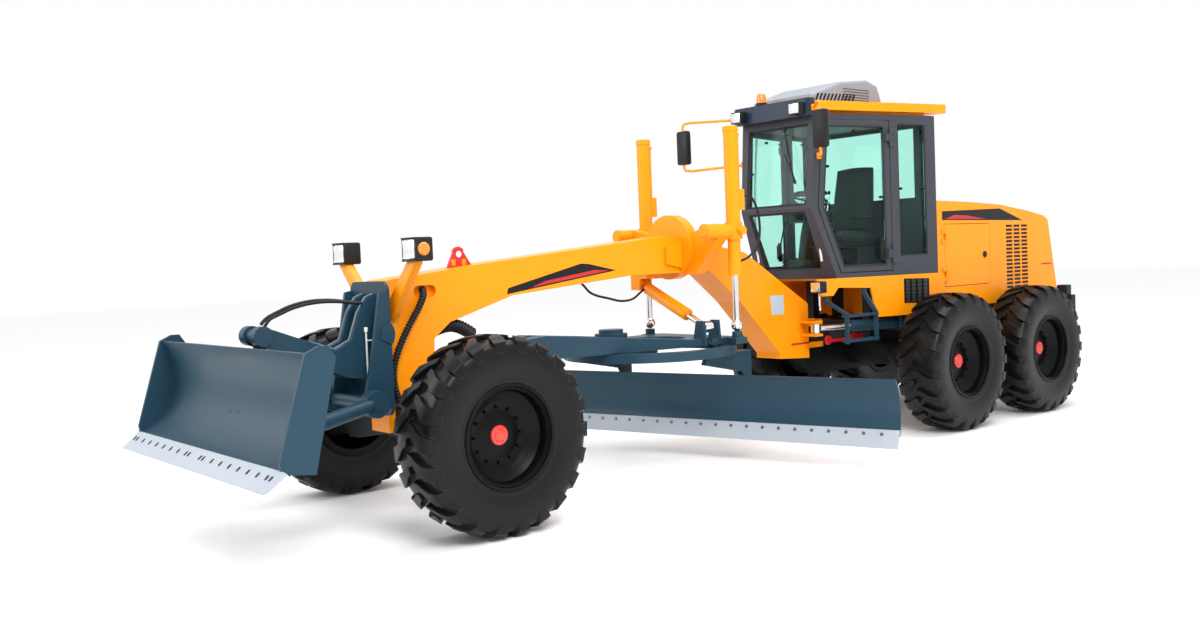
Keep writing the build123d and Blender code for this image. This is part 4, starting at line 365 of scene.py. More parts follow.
class Shape:
    """A mesh in the making, in metres, in the machine's own frame."""

    def __init__(self) -> None:
        """Start an empty mesh."""
        self.bm = bmesh.new()

    def _rounded(self, faces: list[BMFace], width: float) -> None:
        """Round the edges of some faces by a width, where there is one."""
        if width > 0:
            edges = list({edge for face in faces for edge in face.edges})
            bmesh.ops.bevel(self.bm, geom=edges, offset=width, segments=2, affect="EDGES", profile=0.5)

    def box(self, low: Point, high: Point, bevel: float = 0.0, sign: int = 1) -> "Shape":
        """Add a box between two corners, its edges rounded by bevel, its Y mirrored where sign is -1."""
        (x0, x1), (y0, y1), (z0, z1) = (sorted(pair) for pair in zip(low, high))
        y0, y1 = sorted((sign * y0, sign * y1))
        v = [self.bm.verts.new((x, y, z)) for z in (z0, z1) for y in (y0, y1) for x in (x0, x1)]
        rings = ((0, 2, 3, 1), (4, 5, 7, 6), (0, 1, 5, 4), (2, 6, 7, 3), (0, 4, 6, 2), (1, 3, 7, 5))
        self._rounded([self.bm.faces.new([v[i] for i in ring]) for ring in rings], bevel)
        return self

    def twins(self, low: Point, high: Point, bevel: float = 0.0) -> "Shape":
        """Add a box on the left side and its mirror image on the right."""
        return self.box(low, high, bevel).box(low, high, bevel, -1)

    def prism(self, outline: list[Point], shift: Point, bevel: float = 0.0) -> "Shape":
        """Add a solid from a flat outline of 3-D points and the vector that it is drawn along."""
        base = [self.bm.verts.new(p) for p in outline]
        top = [self.bm.verts.new(Vector(p) + Vector(shift)) for p in outline]
        faces = [self.bm.faces.new(base[::-1]), self.bm.faces.new(top)]
        for i, j in zip(range(len(base)), [*range(1, len(base)), 0]):
            faces.append(self.bm.faces.new((base[i], base[j], top[j], top[i])))
        bmesh.ops.recalc_face_normals(self.bm, faces=faces)
        self._rounded(faces, bevel)
        return self

    def plate(self, outline: Flat, y: float, thick: float, bevel: float = 0.0) -> "Shape":
        """Add a plate that stands along X, from (X, Z) points in metres, thick metres from y on."""
        return self.prism([(x, y, z) for x, z in outline], (0, thick, 0), bevel)

    def loft(self, rings: list[list[Point]], closed: bool = False) -> "Shape":
        """Join rings of equal count in turn; the first and last are capped unless closed.

        Args:
            rings: Sections, each a list of points in the same order.
            closed: True where the last section joins the first.
        """
        rows = [[self.bm.verts.new(p) for p in ring] for ring in rings]
        count = len(rows[0])
        faces = []
        for a, b in list(zip(rows, rows[1:])) + ([(rows[-1], rows[0])] if closed else []):
            for i in range(count):
                j = (i + 1) % count
                faces.append(self.bm.faces.new((a[i], a[j], b[j], b[i])))
        if not closed:
            faces.append(self.bm.faces.new(rows[0][::-1]))
            faces.append(self.bm.faces.new(rows[-1]))
        bmesh.ops.recalc_face_normals(self.bm, faces=faces)
        return self

    def lathe(self, profile: Flat, centre: Point, axis: Axis, segments: int = 64) -> "Shape":
        """Turn a closed profile of (radius, along) pairs about an axis through centre."""
        along = Vector(axis.value)
        side = Vector((0, 0, 1)) if axis is not Axis.Z else Vector((1, 0, 0))
        other = along.cross(side)
        rings = []
        for k in range(segments):
            turn = FULL_TURN * k / segments
            out = side * cos(turn) + other * sin(turn)
            rings.append([Vector(centre) + out * r + along * h for r, h in profile])
        return self.loft(rings, closed=True)

    def tube(self, path: list[Point], radius: float | list[float], sides: int = 12) -> "Shape":
        """Add a round bar along a path; radius may be one value or one for each point."""
        points = [Vector(p) for p in path]
        radii = radius if isinstance(radius, list) else [radius] * len(points)
        rings = []
        normal = None
        for i, point in enumerate(points):
            ahead = (points[min(i + 1, len(points) - 1)] - points[max(i - 1, 0)]).normalized()
            if normal is None:
                normal = ahead.orthogonal().normalized()
            normal = (normal - ahead * normal.dot(ahead)).normalized()
            across = ahead.cross(normal)
            turns = [FULL_TURN * k / sides for k in range(sides)]
            rings.append([point + (normal * cos(t) + across * sin(t)) * radii[i] for t in turns])
        return self.loft(rings)

    def rod(self, start: Point, end: Point, radius: float, sides: int = 24, chamfer: float = 0.0) -> "Shape":
        """Add a round bar with chamfered ends."""
        a, b = Vector(start), Vector(end)
        if chamfer <= 0:
            return self.tube([a, b], radius, sides)
        step = (b - a).normalized() * chamfer
        end = radius - chamfer
        return self.tube([a, a + step, b - step, b], [end, radius, radius, end], sides)

    def hoop(self, path: list[Point], radius: float = 0.011) -> "Shape":
        """Add a closed run of round bars from point to point, as thick as a pane's seal unless told."""
        for a, b in zip(path, path[1:] + path[:1]):
            self.rod(a, b, radius, 10)
        return self

    def ball(self, centre: Point, radius: float, scale: Point) -> "Shape":
        """Add a ball or ellipsoid."""
        placed = Matrix.Translation(centre) @ Matrix.Diagonal((*scale, 1))
        bmesh.ops.create_uvsphere(self.bm, u_segments=20, v_segments=12, radius=radius, matrix=placed)
        return self

    def mesh(self, name: str, smooth: float = 35.0) -> Mesh:
        """Turn the shape into a mesh with soft shading below an angle in degrees."""
        data = bpy.data.meshes.new(name)
        bmesh.ops.recalc_face_normals(self.bm, faces=self.bm.faces[:])
        self.bm.to_mesh(data)
        self.bm.free()
        data.shade_smooth()
        data.set_sharp_from_angle(angle=radians(smooth))
        return data


def oblong(count: int, radius: float, half: float, middle: tuple[float, float] = (0.0, 0.0)) -> Flat:
    """Outline of an upright slot with round ends.

    Args:
        count: Number of points.
        radius: Radius of its ends.
        half: Half the distance between the ends' centres.
        middle: Y and Z of its middle.

    Returns:
        Points of Y and Z.
    """
    points = []
    for k in range(count):
        turn = FULL_TURN * k / count
        end = middle[1] + (half if sin(turn) > 0 else -half)
        points.append((middle[0] + radius * cos(turn), end + radius * sin(turn)))
    return points


class Spread(Enum):
    """How copies are laid out, each with the name of the tree input that directs it."""

    RING = "Axis"
    ROW = "Step"


class Repeat:
    """Geometry Nodes that repeat one small mesh round an axis or along a line."""

    @staticmethod
    @cache
    def _tree(spread: Spread) -> NodeTree:
        """Build a tree of copies once and hand it out.

        Args:
            spread: Ring for copies round an axis through the origin, row for copies along a line.

        Returns:
            The geometry node tree.
        """
        tree = bpy.data.node_groups.new(f"{spread.name.lower()}_of_copies", "GeometryNodeTree")
        socket = tree.interface.new_socket
        socket(name="Geometry", in_out="OUTPUT", socket_type="NodeSocketGeometry")
        for label, kind in {"Geometry": "Geometry", "Count": "Int", spread.value: "Vector"}.items():
            socket(name=label, in_out="INPUT", socket_type=f"NodeSocket{kind}")
        nodes = Wiring(tree)
        given = nodes.add("NodeGroupInput", {})
        step = given["Step"] if spread is Spread.ROW else (0, 0, 0)
        line = nodes.add("GeometryNodeMeshLine", {"Count": given["Count"], "Offset": step}, mode="OFFSET")
        placed = {"Points": line["Mesh"], "Instance": given["Geometry"]}
        if spread is Spread.RING:
            index = nodes.add("GeometryNodeInputIndex", {})["Index"]
            divided = {0: FULL_TURN, 1: given["Count"]}
            share = nodes.add("ShaderNodeMath", divided, operation="DIVIDE")["Value"]
            turned = {"Axis": given["Axis"], "Angle": nodes.times(index, share)}
            placed["Rotation"] = nodes.add("FunctionNodeAxisAngleToRotation", turned)["Rotation"]
        copies = nodes.add("GeometryNodeInstanceOnPoints", placed)["Instances"]
        real = nodes.add("GeometryNodeRealizeInstances", {"Geometry": copies})["Geometry"]
        nodes.add("NodeGroupOutput", {"Geometry": real})
        return tree

    @staticmethod
    def _run(mesh: Mesh, tree: NodeTree, values: dict[str, object]) -> Mesh:
        """Evaluate a tree on a mesh and return the plain result."""
        holder = in_scene("repeat_holder", mesh)
        modifier = holder.modifiers.new("repeat", "NODES")
        modifier.node_group = tree
        for item in tree.interface.items_tree:
            if item.in_out == "INPUT" and item.name in values:
                modifier[item.identifier] = values[item.name]
        holder.update_tag()
        return evaluated(holder)

    @classmethod
    def ring(cls, shape: Shape, count: int, axis: Axis, smooth: float = 35.0) -> Mesh:
        """Copies of a shape round an axis through the origin."""
        values = {"Count": count, "Axis": axis.value}
        return cls._run(shape.mesh("copy", smooth), cls._tree(Spread.RING), values)

    @classmethod
    def row(cls, shape: Shape | Mesh, count: int, step: Point) -> Mesh:
        """Copies of a shape along a line."""
        mesh = shape.mesh("copy") if isinstance(shape, Shape) else shape
        return cls._run(mesh, cls._tree(Spread.ROW), {"Count": count, "Step": step})

    @classmethod
    def grid(cls, shape: Shape, counts: tuple[int, int], steps: tuple[Point, Point]) -> Mesh:
        """Copies of a shape in rows and columns."""
        return cls.row(cls.row(shape, counts[0], steps[0]), counts[1], steps[1])


class Assembly:
    """A group of pieces with a body of its own."""

    body = "rear_body"

    def put(
        self,
        name: str,
        mesh: Mesh | Shape,
        finish: Finish | ClearFinish,
        body: str = "",
        replaces: tuple[str, ...] = (),
        place: Matrix | None = None,
    ) -> Object:
        """Set a piece in the scene and let it ride on its body.

        Args:
            name: Object name.
            mesh: The mesh, or the shape that it is made from.
            finish: Its finish.
            body: Body that carries it; the assembly's own where empty.
            replaces: Nodes that it stands for.
            place: Matrix that is baked into its mesh first.

        Returns:
            The object.
        """
        data = mesh.mesh(name) if isinstance(mesh, Shape) else mesh
        if place is not None:
            data.transform(place)
            if place.determinant() < 0:
                data.flip_normals()
        data.name = name
        data.materials.clear()
        data.materials.append(finish.material())
        piece = in_scene(name, data)
        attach(piece, body or self.body)
        if replaces:
            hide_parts(*replaces)
        LOG.info("%s on %s, %d faces", name, body or self.body, len(data.polygons))
        return piece


@dataclass
class Wheels(Assembly):
    """Six wheels: a lugged tyre on a deep black rim with a red cap."""

    radius: float = 0.670
    groove: float = 0.038
    lugs: int = 22
    lug_root: float = 0.012
    track: float = 2.156
    half_pitch: float = 772.5

    def carcass(self) -> Shape:
        """The tyre without its lugs, about the origin, its axle along Y, from (radius, Y) points."""
        base = self.radius - self.groove
        half = [
            (0.3185, 0.188), (0.345, 0.192), (0.362, 0.199), (0.372, 0.203), (0.384, 0.201), (0.40, 0.205),
            (0.44, 0.2135), (0.49, 0.2195), (0.54, 0.2215), (0.575, 0.217), (0.600, 0.208), (0.618, 0.195),
            (base - 0.006, 0.170), (base - 0.001, 0.11), (base, 0.0),
        ]
        profile = half + [(r, -y) for r, y in reversed(half[:-1])]
        return Shape().lathe(profile, (0, 0, 0), Axis.Y, 96)

    def lug(self, side: int, shift: float) -> Shape:
        """One hooked lug from near the middle line out over the shoulder.

        Args:
            side: 1 outboard, -1 inboard.
            shift: Where it stands round the tyre, in metres of tread.
        """
        top = self.radius
        low = self.radius - self.groove - self.lug_root
        # Y and radius at the foot, Y and radius at the top, middle round the tread, half width
        stations = [
            (0.004, low, 0.004, top, -0.038, 0.024), (0.050, low, 0.048, top, -0.020, 0.032),
            (0.095, low, 0.092, top - 0.001, 0.020, 0.041), (0.140, low, 0.138, top - 0.004, 0.052, 0.049),
            (0.178, low - 0.004, 0.184, top - 0.014, 0.066, 0.052),
            (0.198, 0.600, 0.214, 0.632, 0.070, 0.050), (0.209, 0.578, 0.2225, 0.597, 0.070, 0.042),
            (0.214, 0.552, 0.2225, 0.560, 0.070, 0.030),
        ]
        flare = 1.18
        rings = []
        for y_low, r_low, y_top, r_top, middle, half in stations:
            ring = []
            for y, r, s in (
                (y_low, r_low, middle - half * flare), (y_top, r_top, middle - half),
                (y_top, r_top, middle + half), (y_low, r_low, middle + half * flare),
            ):
                turn = (s + shift) / self.radius
                ring.append((r * sin(turn), side * y, r * cos(turn)))
            rings.append(ring)
        return Shape().loft(rings)

    def tyre(self) -> Mesh:
        """Carcass and both rows of lugs as one mesh."""
        pitch = FULL_TURN * self.radius / self.lugs
        parts = [self.carcass().mesh("carcass", 40)]
        for side, shift in ((1, 0.0), (-1, pitch / 2)):
            parts.append(Repeat.ring(self.lug(side, shift), self.lugs, Axis.Y, 30))
        joined = bmesh.new()
        for part in parts:
            joined.from_mesh(part)
        data = bpy.data.meshes.new("tyre")
        joined.to_mesh(data)
        joined.free()
        return data

    def rim(self) -> Shape:
        """The dished rim with its flanges, outboard towards +Y."""
        profile = [
            (0.3175, 0.1905), (0.3545, 0.1905), (0.3545, 0.200), (0.350, 0.2042), (0.334, 0.2042),
            (0.3285, 0.196), (0.3285, 0.186), (0.312, 0.176), (0.3035, 0.150), (0.3035, 0.108),
            (0.285, 0.090), (0.262, 0.078), (0.235, 0.060), (0.205, 0.044), (0.165, 0.040), (0.150, 0.046),
            (0.115, 0.048), (0.100, 0.052), (0.080, 0.054), (0.0, 0.054), (0.0, 0.017), (0.200, 0.017),
            (0.240, 0.034), (0.300, 0.060), (0.3035, -0.2042), (0.3545, -0.2042), (0.3545, -0.1905),
            (0.3175, -0.1905),
        ]
        return Shape().lathe(profile, (0, 0, 0), Axis.Y, 72)

    def bolts(self) -> Mesh:
        """Ring of wheel bolts on the disc."""
        bolt = Shape().rod((0, 0.036, 0.185), (0, 0.060, 0.185), 0.011, 6, 0.002)
        return Repeat.ring(bolt, 12, Axis.Y)

    def cap(self) -> Shape:
        """Red hub cap with a raised boss."""
        profile = [
            (0.0, 0.050), (0.068, 0.050), (0.068, 0.066), (0.064, 0.071), (0.044, 0.073), (0.040, 0.078),
            (0.030, 0.080), (0.0, 0.080),
        ]
        return Shape().lathe(profile, (0, 0, 0), Axis.Y, 40)

    def build(self) -> None:
        """Make every wheel."""
        places = {"front": FRONT_X, "middle": tandem(self.half_pitch), "rear": tandem(-self.half_pitch)}
        meshes = {
            "tyre": (self.tyre(), TYRE_RUBBER), "rim": (self.rim().mesh("rim"), RIM_BLACK),
            "bolts": (self.bolts(), RIM_BLACK), "cap": (self.cap().mesh("cap"), CAP_RED),
        }
        for place, x in places.items():
            for side, sign in SIDES.items():
                body = f"wheel_{place}_{side}"
                centre = Matrix.Translation((x, sign * self.track / 2, self.radius))
                at = centre @ Matrix.Diagonal((1, sign, 1, 1))
                for kind, (mesh, finish) in meshes.items():
                    node = (f"{kind}_{place}_{side}",) if kind in ("tyre", "rim") else ()
                    self.put(f"{body}_{kind}", mesh.copy(), finish, body, node, at)


@dataclass
class Hood(Assembly):
    """Louvres, latch, stripe and tail lamps of the engine hood."""

    half: float = 0.760
    proud: float = 0.0012

    def build(self) -> None:
        """Make the pieces on both sides and on the tail."""
        # name, finish, thickness, points of X in mm from the tandem and Z in metres
        plates = (
            ("stripe", STRIPE_BLACK, 0.002, [(395, 2.150), (-700, 2.176), (-1160, 2.047), (400, 2.061)]),
            ("stripe_line", RED_PAINT, 0.003, [(355, 2.070), (180, 2.112), (-60, 2.104), (-420, 2.066)]),
            ("marker", RED_PAINT, 0.002, [(-1560, 1.560), (-1780, 1.556), (-1782, 1.538), (-1562, 1.542)]),
        )
        for side, sign in SIDES.items():
            low, high = (tandem(-1267), self.half - 0.0079, 1.306), (tandem(-1135), self.half - 0.006, 1.331)
            slot = Shape().box(low, high, sign=sign)
            louvres = Repeat.grid(slot, (3, 17), ((0.158, 0, 0), (0, 0, 0.0417)))
            self.put(f"hood_louvres_{side}", louvres, STRIPE_BLACK)
            for name, finish, thick, points in plates:
                outline = [(tandem(x), z) for x, z in points]
                plate = Shape().plate(outline, sign * (self.half + self.proud), sign * thick)
                self.put(f"hood_{name}_{side}", plate, finish)
            x, z, y = tandem(-381), 1.692, self.half
            latch = Shape().rod((x, sign * (y - 0.002), z), (x, sign * (y + 0.012), z), 0.034, 24, 0.003)
            latch.box((tandem(-406), y + 0.010, 1.684), (tandem(-356), y + 0.020, 1.700), 0.003, sign)
            self.put(f"hood_latch_{side}", latch, BLACK_PLASTIC, f"hood_door_{side}")
        for side, sign in SIDES.items():
            lamp = Shape().box((tandem(-2120), 0.70, 1.1705), (tandem(-2005), 0.82, 1.288), 0.008, sign)
            self.put(f"tail_lamp_{side}", lamp, BLACK_PLASTIC)
            lens = Shape().box((tandem(-2119.5), 0.712, 1.182), (tandem(-2110), 0.808, 1.276), 0.003, sign)
            self.put(f"tail_lens_{side}", lens, RED_LENS)


@dataclass
class Cab(Assembly):
    """Seals, wipers, lamps, mirrors, seat and controls of the cab, its X in mm from the tandem's centre."""

    floor: float = 1.5905
    seat_x: float = tandem(1090)
    seat_lean: float = -8.0
    column_x: float = tandem(1680)
    beacon: Point = (tandem(2065), -0.140, 3.2405)
    roof_flank: float = 0.3702

    # part, X and Z of its seal's corners, seal's distance outside the wall, X and Z of its fixings
    PANES = (
        (
            "door", ((1205, 1.640), (1710, 1.640), (1930, 2.210), (1862, 2.985), (1205, 2.985)), -0.006,
            (
                (1240, 1.69), (1240, 2.30), (1240, 2.94), (1540, 2.94), (1680, 1.69), (1800, 1.98),
                (1890, 2.24), (1862, 2.60),
            ),
        ),
        (
            "side", ((690, 1.720), (1030, 1.720), (1030, 3.010), (690, 3.010)), -0.010,
            ((722, 1.76), (722, 2.38), (722, 2.97), (998, 1.76), (998, 2.38), (998, 2.97)),
        ),
    )

    def build_seals(self) -> None:
        """Seals round the side panes and the windscreen, and the door handles."""
        for side, sign in SIDES.items():
            door = f"cab_door_{side}"
            for name, corners, out, _ in self.PANES:
                path = [(tandem(x), sign * (cab_half(x) + out), z) for x, z in corners]
                body = door if name == "door" else ""
                self.put(f"{name}_seal_{side}", Shape().hoop(path), SEAL_BLACK, body)
            x = tandem(1245)
            y = sign * (cab_half(1245) + 0.004)
            handle = Shape().box((x, y, 1.70), (x + 0.05, y + sign * 0.012, 1.90), 0.004)
            grip = ((0, 1.88), (sign * 0.04, 1.87), (sign * 0.04, 1.73), (0, 1.72))
            handle.tube([(x + 0.025, y + out, z) for out, z in grip], 0.009)
            self.put(f"door_handle_{side}", handle, BLACK_PLASTIC, door)
        seal = Shape()
        # half width, X and Z of the foot and of the head
        for half, foot, head in (
            (0.355, (1812, 1.626), (2042, 2.172)), (0.375, (2046, 2.248), (1968, 3.003)),
        ):
            corners = ((foot, -half), (foot, half), (head, half), (head, -half))
            seal.hoop([(tandem(x), y, z) for (x, z), y in corners])
        self.put("windscreen_seal", seal, SEAL_BLACK)

    def build_fixings(self) -> None:
        """Round black fixings through the edges of the side panes."""
        for side, sign in SIDES.items():
            for name, _, _, places in self.PANES:
                shape = Shape()
                for x, z in places:
                    inner, outer = sign * (cab_half(x) - 0.034), sign * (cab_half(x) + 0.002)
                    shape.rod((tandem(x), inner, z), (tandem(x), outer, z), 0.013, 16, 0.002)
                body = f"cab_door_{side}" if name == "door" else ""
                self.put(f"{name}_pane_fixings_{side}", shape, BLACK_PLASTIC, body)

    def build_wipers(self) -> None:
        """A wiper from the head of the upper pane and one from the foot of the lower."""
        shape = Shape()
        for y, foot, tip in ((0.10, (2018, 2.98), (2087, 2.45)), (-0.12, (1826, 1.66), (2002, 2.10))):
            a = Vector((tandem(foot[0]), y, foot[1]))
            b = Vector((tandem(tip[0]), y + 0.16, tip[1]))
            shape.rod(a, b, 0.007, 8)
            shape.rod((a.x - 0.02, a.y, a.z), (a.x + 0.02, a.y, a.z), 0.018, 16, 0.003)
            lean = Vector((0, 0.05, 0))
            shape.rod(a + (b - a) * 0.45 - lean, b + lean * 0.4, 0.008, 6)
        self.put("wipers", shape, BLACK_PLASTIC)

    def build_lamps(self) -> None:
        """Work lamps on the visor, driving lamps under the nose, the beacon."""
        x = tandem(2110)
        shells = Shape().twins((x + 0.001, 0.300, 3.085), (x + 0.088, 0.440, 3.200), 0.012)
        lenses = Shape().twins((x + 0.084, 0.312, 3.097), (x + 0.0905, 0.428, 3.188), 0.003)
        nose = cab_half(2030)
        shells.twins((tandem(2031), nose - 0.013, 1.402), (tandem(2128), nose + 0.118, 1.513), 0.014)
        lenses.twins((tandem(2124), nose, 1.414), (tandem(2131), nose + 0.106, 1.501), 0.003)
        self.put("cab_lamp_shells", shells, BLACK_PLASTIC, replaces=("lamps",))
        self.put("cab_lamp_lenses", lenses, REFLECTOR)
        base = [(0, 0.0), (0.055, 0.0), (0.055, 0.022), (0.050, 0.026), (0.0, 0.026)]
        dome = [(0, 0.026), (0.050, 0.026), (0.049, 0.070), (0.044, 0.100), (0.030, 0.116), (0.0, 0.120)]
        for name, profile, finish in (("base", base, BLACK_PLASTIC), ("dome", dome, AMBER)):
            self.put(f"beacon_{name}", Shape().lathe(profile, self.beacon, Axis.Z, 32), finish)

    def build_mirrors(self) -> None:
        """Mirrors on bent tube arms."""
        x, y, foot = tandem(2440), 0.870, cab_half(1984) + 0.022
        arms = Shape().twins((tandem(2030), 0.4785, 3.115), (tandem(2080), 0.507, 3.175), 0.006)
        inner = cab_half(1962) + 0.0005
        arms.twins((tandem(1962), inner, 2.665), (tandem(2007), foot + 0.01, 2.725), 0.006)
        route = (
            (tandem(2055), 0.50, 3.145), (x - 0.05, y - 0.05, 3.140), (x - 0.012, y - 0.008, 3.128),
            (x, y, 3.100), (x, y, 2.690),
            (x - 0.012, y - 0.008, 2.664), (x - 0.05, y - 0.05, 2.655), (tandem(1984), foot, 2.695),
        )
        for sign in SIDES.values():
            arms.tube([(a, sign * b, c) for a, b, c in route], 0.013, 12)
        shells = Shape().twins((x - 0.044, y - 0.075, 2.720), (x + 0.029, y + 0.075, 3.060), 0.022)
        faces = Shape().twins((x - 0.0475, y - 0.062, 2.735), (x - 0.042, y + 0.062, 3.045), 0.002)
        self.put("mirror_arms", arms, YELLOW, replaces=("mirrors",))
        self.put("mirror_shells", shells, BLACK_PLASTIC)
        self.put("mirror_faces", faces, CHROME)

    def cushion(self, low: Point, high: Point, crown: float) -> Mesh:
        """A crowned pad between two corners, its sides pulled in between the corners."""
        shape = Shape().box(low, high)
        bmesh.ops.subdivide_edges(shape.bm, edges=shape.bm.edges[:], cuts=7, use_grid_fill=True)
        middle = (Vector(low) + Vector(high)) / 2
        half = (Vector(high) - Vector(low)) / 2
        for vert in shape.bm.verts:
            u = [(vert.co[i] - middle[i]) / half[i] for i in range(3)]
            swell = [(1 - u[(i + 1) % 3] ** 2) * (1 - u[(i + 2) % 3] ** 2) for i in range(3)]
            for i in range(3):
                vert.co[i] -= u[i] * (crown * (1 - swell[i]) + 0.012 * abs(u[(i + 1) % 3] * u[(i + 2) % 3]))
        return shape.mesh("cushion", 60)

    def build_seat(self) -> None:
        """Seat with cushion and back pads on a black base."""
        x = self.seat_x
        base = Shape()
        # half width, foot, head, rounding
        for half, low, high, bevel in (
            (0.16, self.floor, 1.63, 0.01), (0.13, 1.63, 1.82, 0.03), (0.24, 1.82, 1.865, 0.015),
        ):
            base.box((x - half, -half, low), (x + half, half, high), bevel)
        base.twins((x - 0.20, 0.235, 2.09), (x + 0.14, 0.259, 2.13), 0.010)
        self.put("seat_base", base, BLACK_PLASTIC)
        flat = self.cushion((x - 0.25, -0.245, 1.865), (x + 0.255, 0.245, 1.995), 0.016)
        self.put("seat_cushion", flat, SEAT_CLOTH, replaces=("seat",))
        back = self.cushion((-0.055, -0.235, 0.0), (0.055, 0.235, 0.66), 0.014)
        lean = Matrix.Translation((x - 0.205, 0, 1.995)) @ Matrix.Rotation(radians(self.seat_lean), 4, "Y")
        self.put("seat_back", back, SEAT_CLOTH, place=lean)

    def build_controls(self) -> None:
        """Column, console with its levers, steering wheel, and grab rails."""
        x = self.column_x
        column = Shape().box((x - 0.09, -0.15, self.floor), (x + 0.06, 0.15, 1.71), 0.02)
        column.tube([(x, 0, 1.65), (x - 0.05, 0, 1.95), (x - 0.14, 0, 2.28)], [0.06, 0.052, 0.045], 16)
        column.box((x - 0.19, -0.24, 2.09), (x - 0.07, 0.24, 2.19), 0.02)
        self.put("control_console", column, BLACK_PLASTIC, replaces=("controls",))
        levers, knobs = Shape(), Shape()
        for y in (-0.21, -0.17, -0.13, -0.09, 0.09, 0.13, 0.17, 0.21):
            levers.rod((x - 0.13, y, 2.17), (x - 0.17, y, 2.36), 0.006, 8)
            knobs.ball((x - 0.171, y, 2.37), 0.016, (1, 1, 1.3))
        self.put("control_levers", levers, CHROME)
        self.put("control_knobs", knobs, BLACK_PLASTIC)
        centre = Vector((x - 0.15, 0, 2.29))
        side = Vector((0, 1, 0))
        fore = side.cross(Vector((-0.5, 0, 0.85)).normalized())
        turns = [FULL_TURN * k / 32 for k in range(33)]
        ring = [centre + (side * cos(turn) + fore * sin(turn)) * 0.19 for turn in turns]
        wheel = Shape().tube(ring, 0.014, 10)
        for turn in (0.4, 2.5, 4.7):
            wheel.rod(centre, centre + (side * cos(turn) + fore * sin(turn)) * 0.185, 0.010, 8)
        wheel.ball(centre, 0.04, (1, 1, 0.6))
        self.put("steering_wheel", wheel, BLACK_PLASTIC)
        rails = Shape()
        for y in (0.40, -0.40):
            route = ((1890, 1.70), (1930, 1.95), (1900, 2.55), (1860, 2.95))
            rails.tube([(tandem(x), y, z) for x, z in route], 0.011, 10)
        self.put("cab_grab_rails", rails, WHITE_PAINT)

    def build_roof_unit(self) -> None:
        """Slanted black slots low on both flanks of the roof unit."""
        outline = [(tandem(x), z) for x, z in ((1290, 3.262), (1318, 3.262), (1278, 3.330), (1250, 3.330))]
        for side, sign in SIDES.items():
            slot = Shape().plate(outline, sign * self.roof_flank, sign * 0.0015)
            row = Repeat.row(slot, 11, (0.056, 0, -0.002))
            self.put(f"roof_unit_slots_{side}", row, STRIPE_BLACK)

    def build_side_plate(self) -> None:
        """Dark blank plate with a grid of cells on both skirts."""
        for side, sign in SIDES.items():
            corners = []
            for x, z in ((1005, 1.492), (690, 1.482), (690, 1.236), (1005, 1.250)):
                corners.append((tandem(x), sign * (cab_half(x) + 0.0006), z))
            self.put(f"grid_plate_{side}", Shape().prism(corners, (0, sign * 0.002, 0)), STRIPE_BLACK)
            x = tandem(715)
            y = sign * (cab_half(715) + 0.0024)
            cell = Shape().box((x, y - 0.0006, 1.254), (x + 0.062, y + 0.0006, 1.284))
            step = cab_half(789) - cab_half(715)
            cells = Repeat.grid(cell, (4, 6), ((0.073, sign * step, 0.0007), (0, 0, 0.0385)))
            self.put(f"grid_cells_{side}", cells, GRID_GREY)

    def build(self) -> None:
        """Make all pieces of the cab."""
        self.build_seals()
        self.build_fixings()
        self.build_wipers()
        self.build_lamps()
        self.build_mirrors()
        self.build_seat()
        self.build_controls()
        self.build_roof_unit()
        self.build_side_plate()


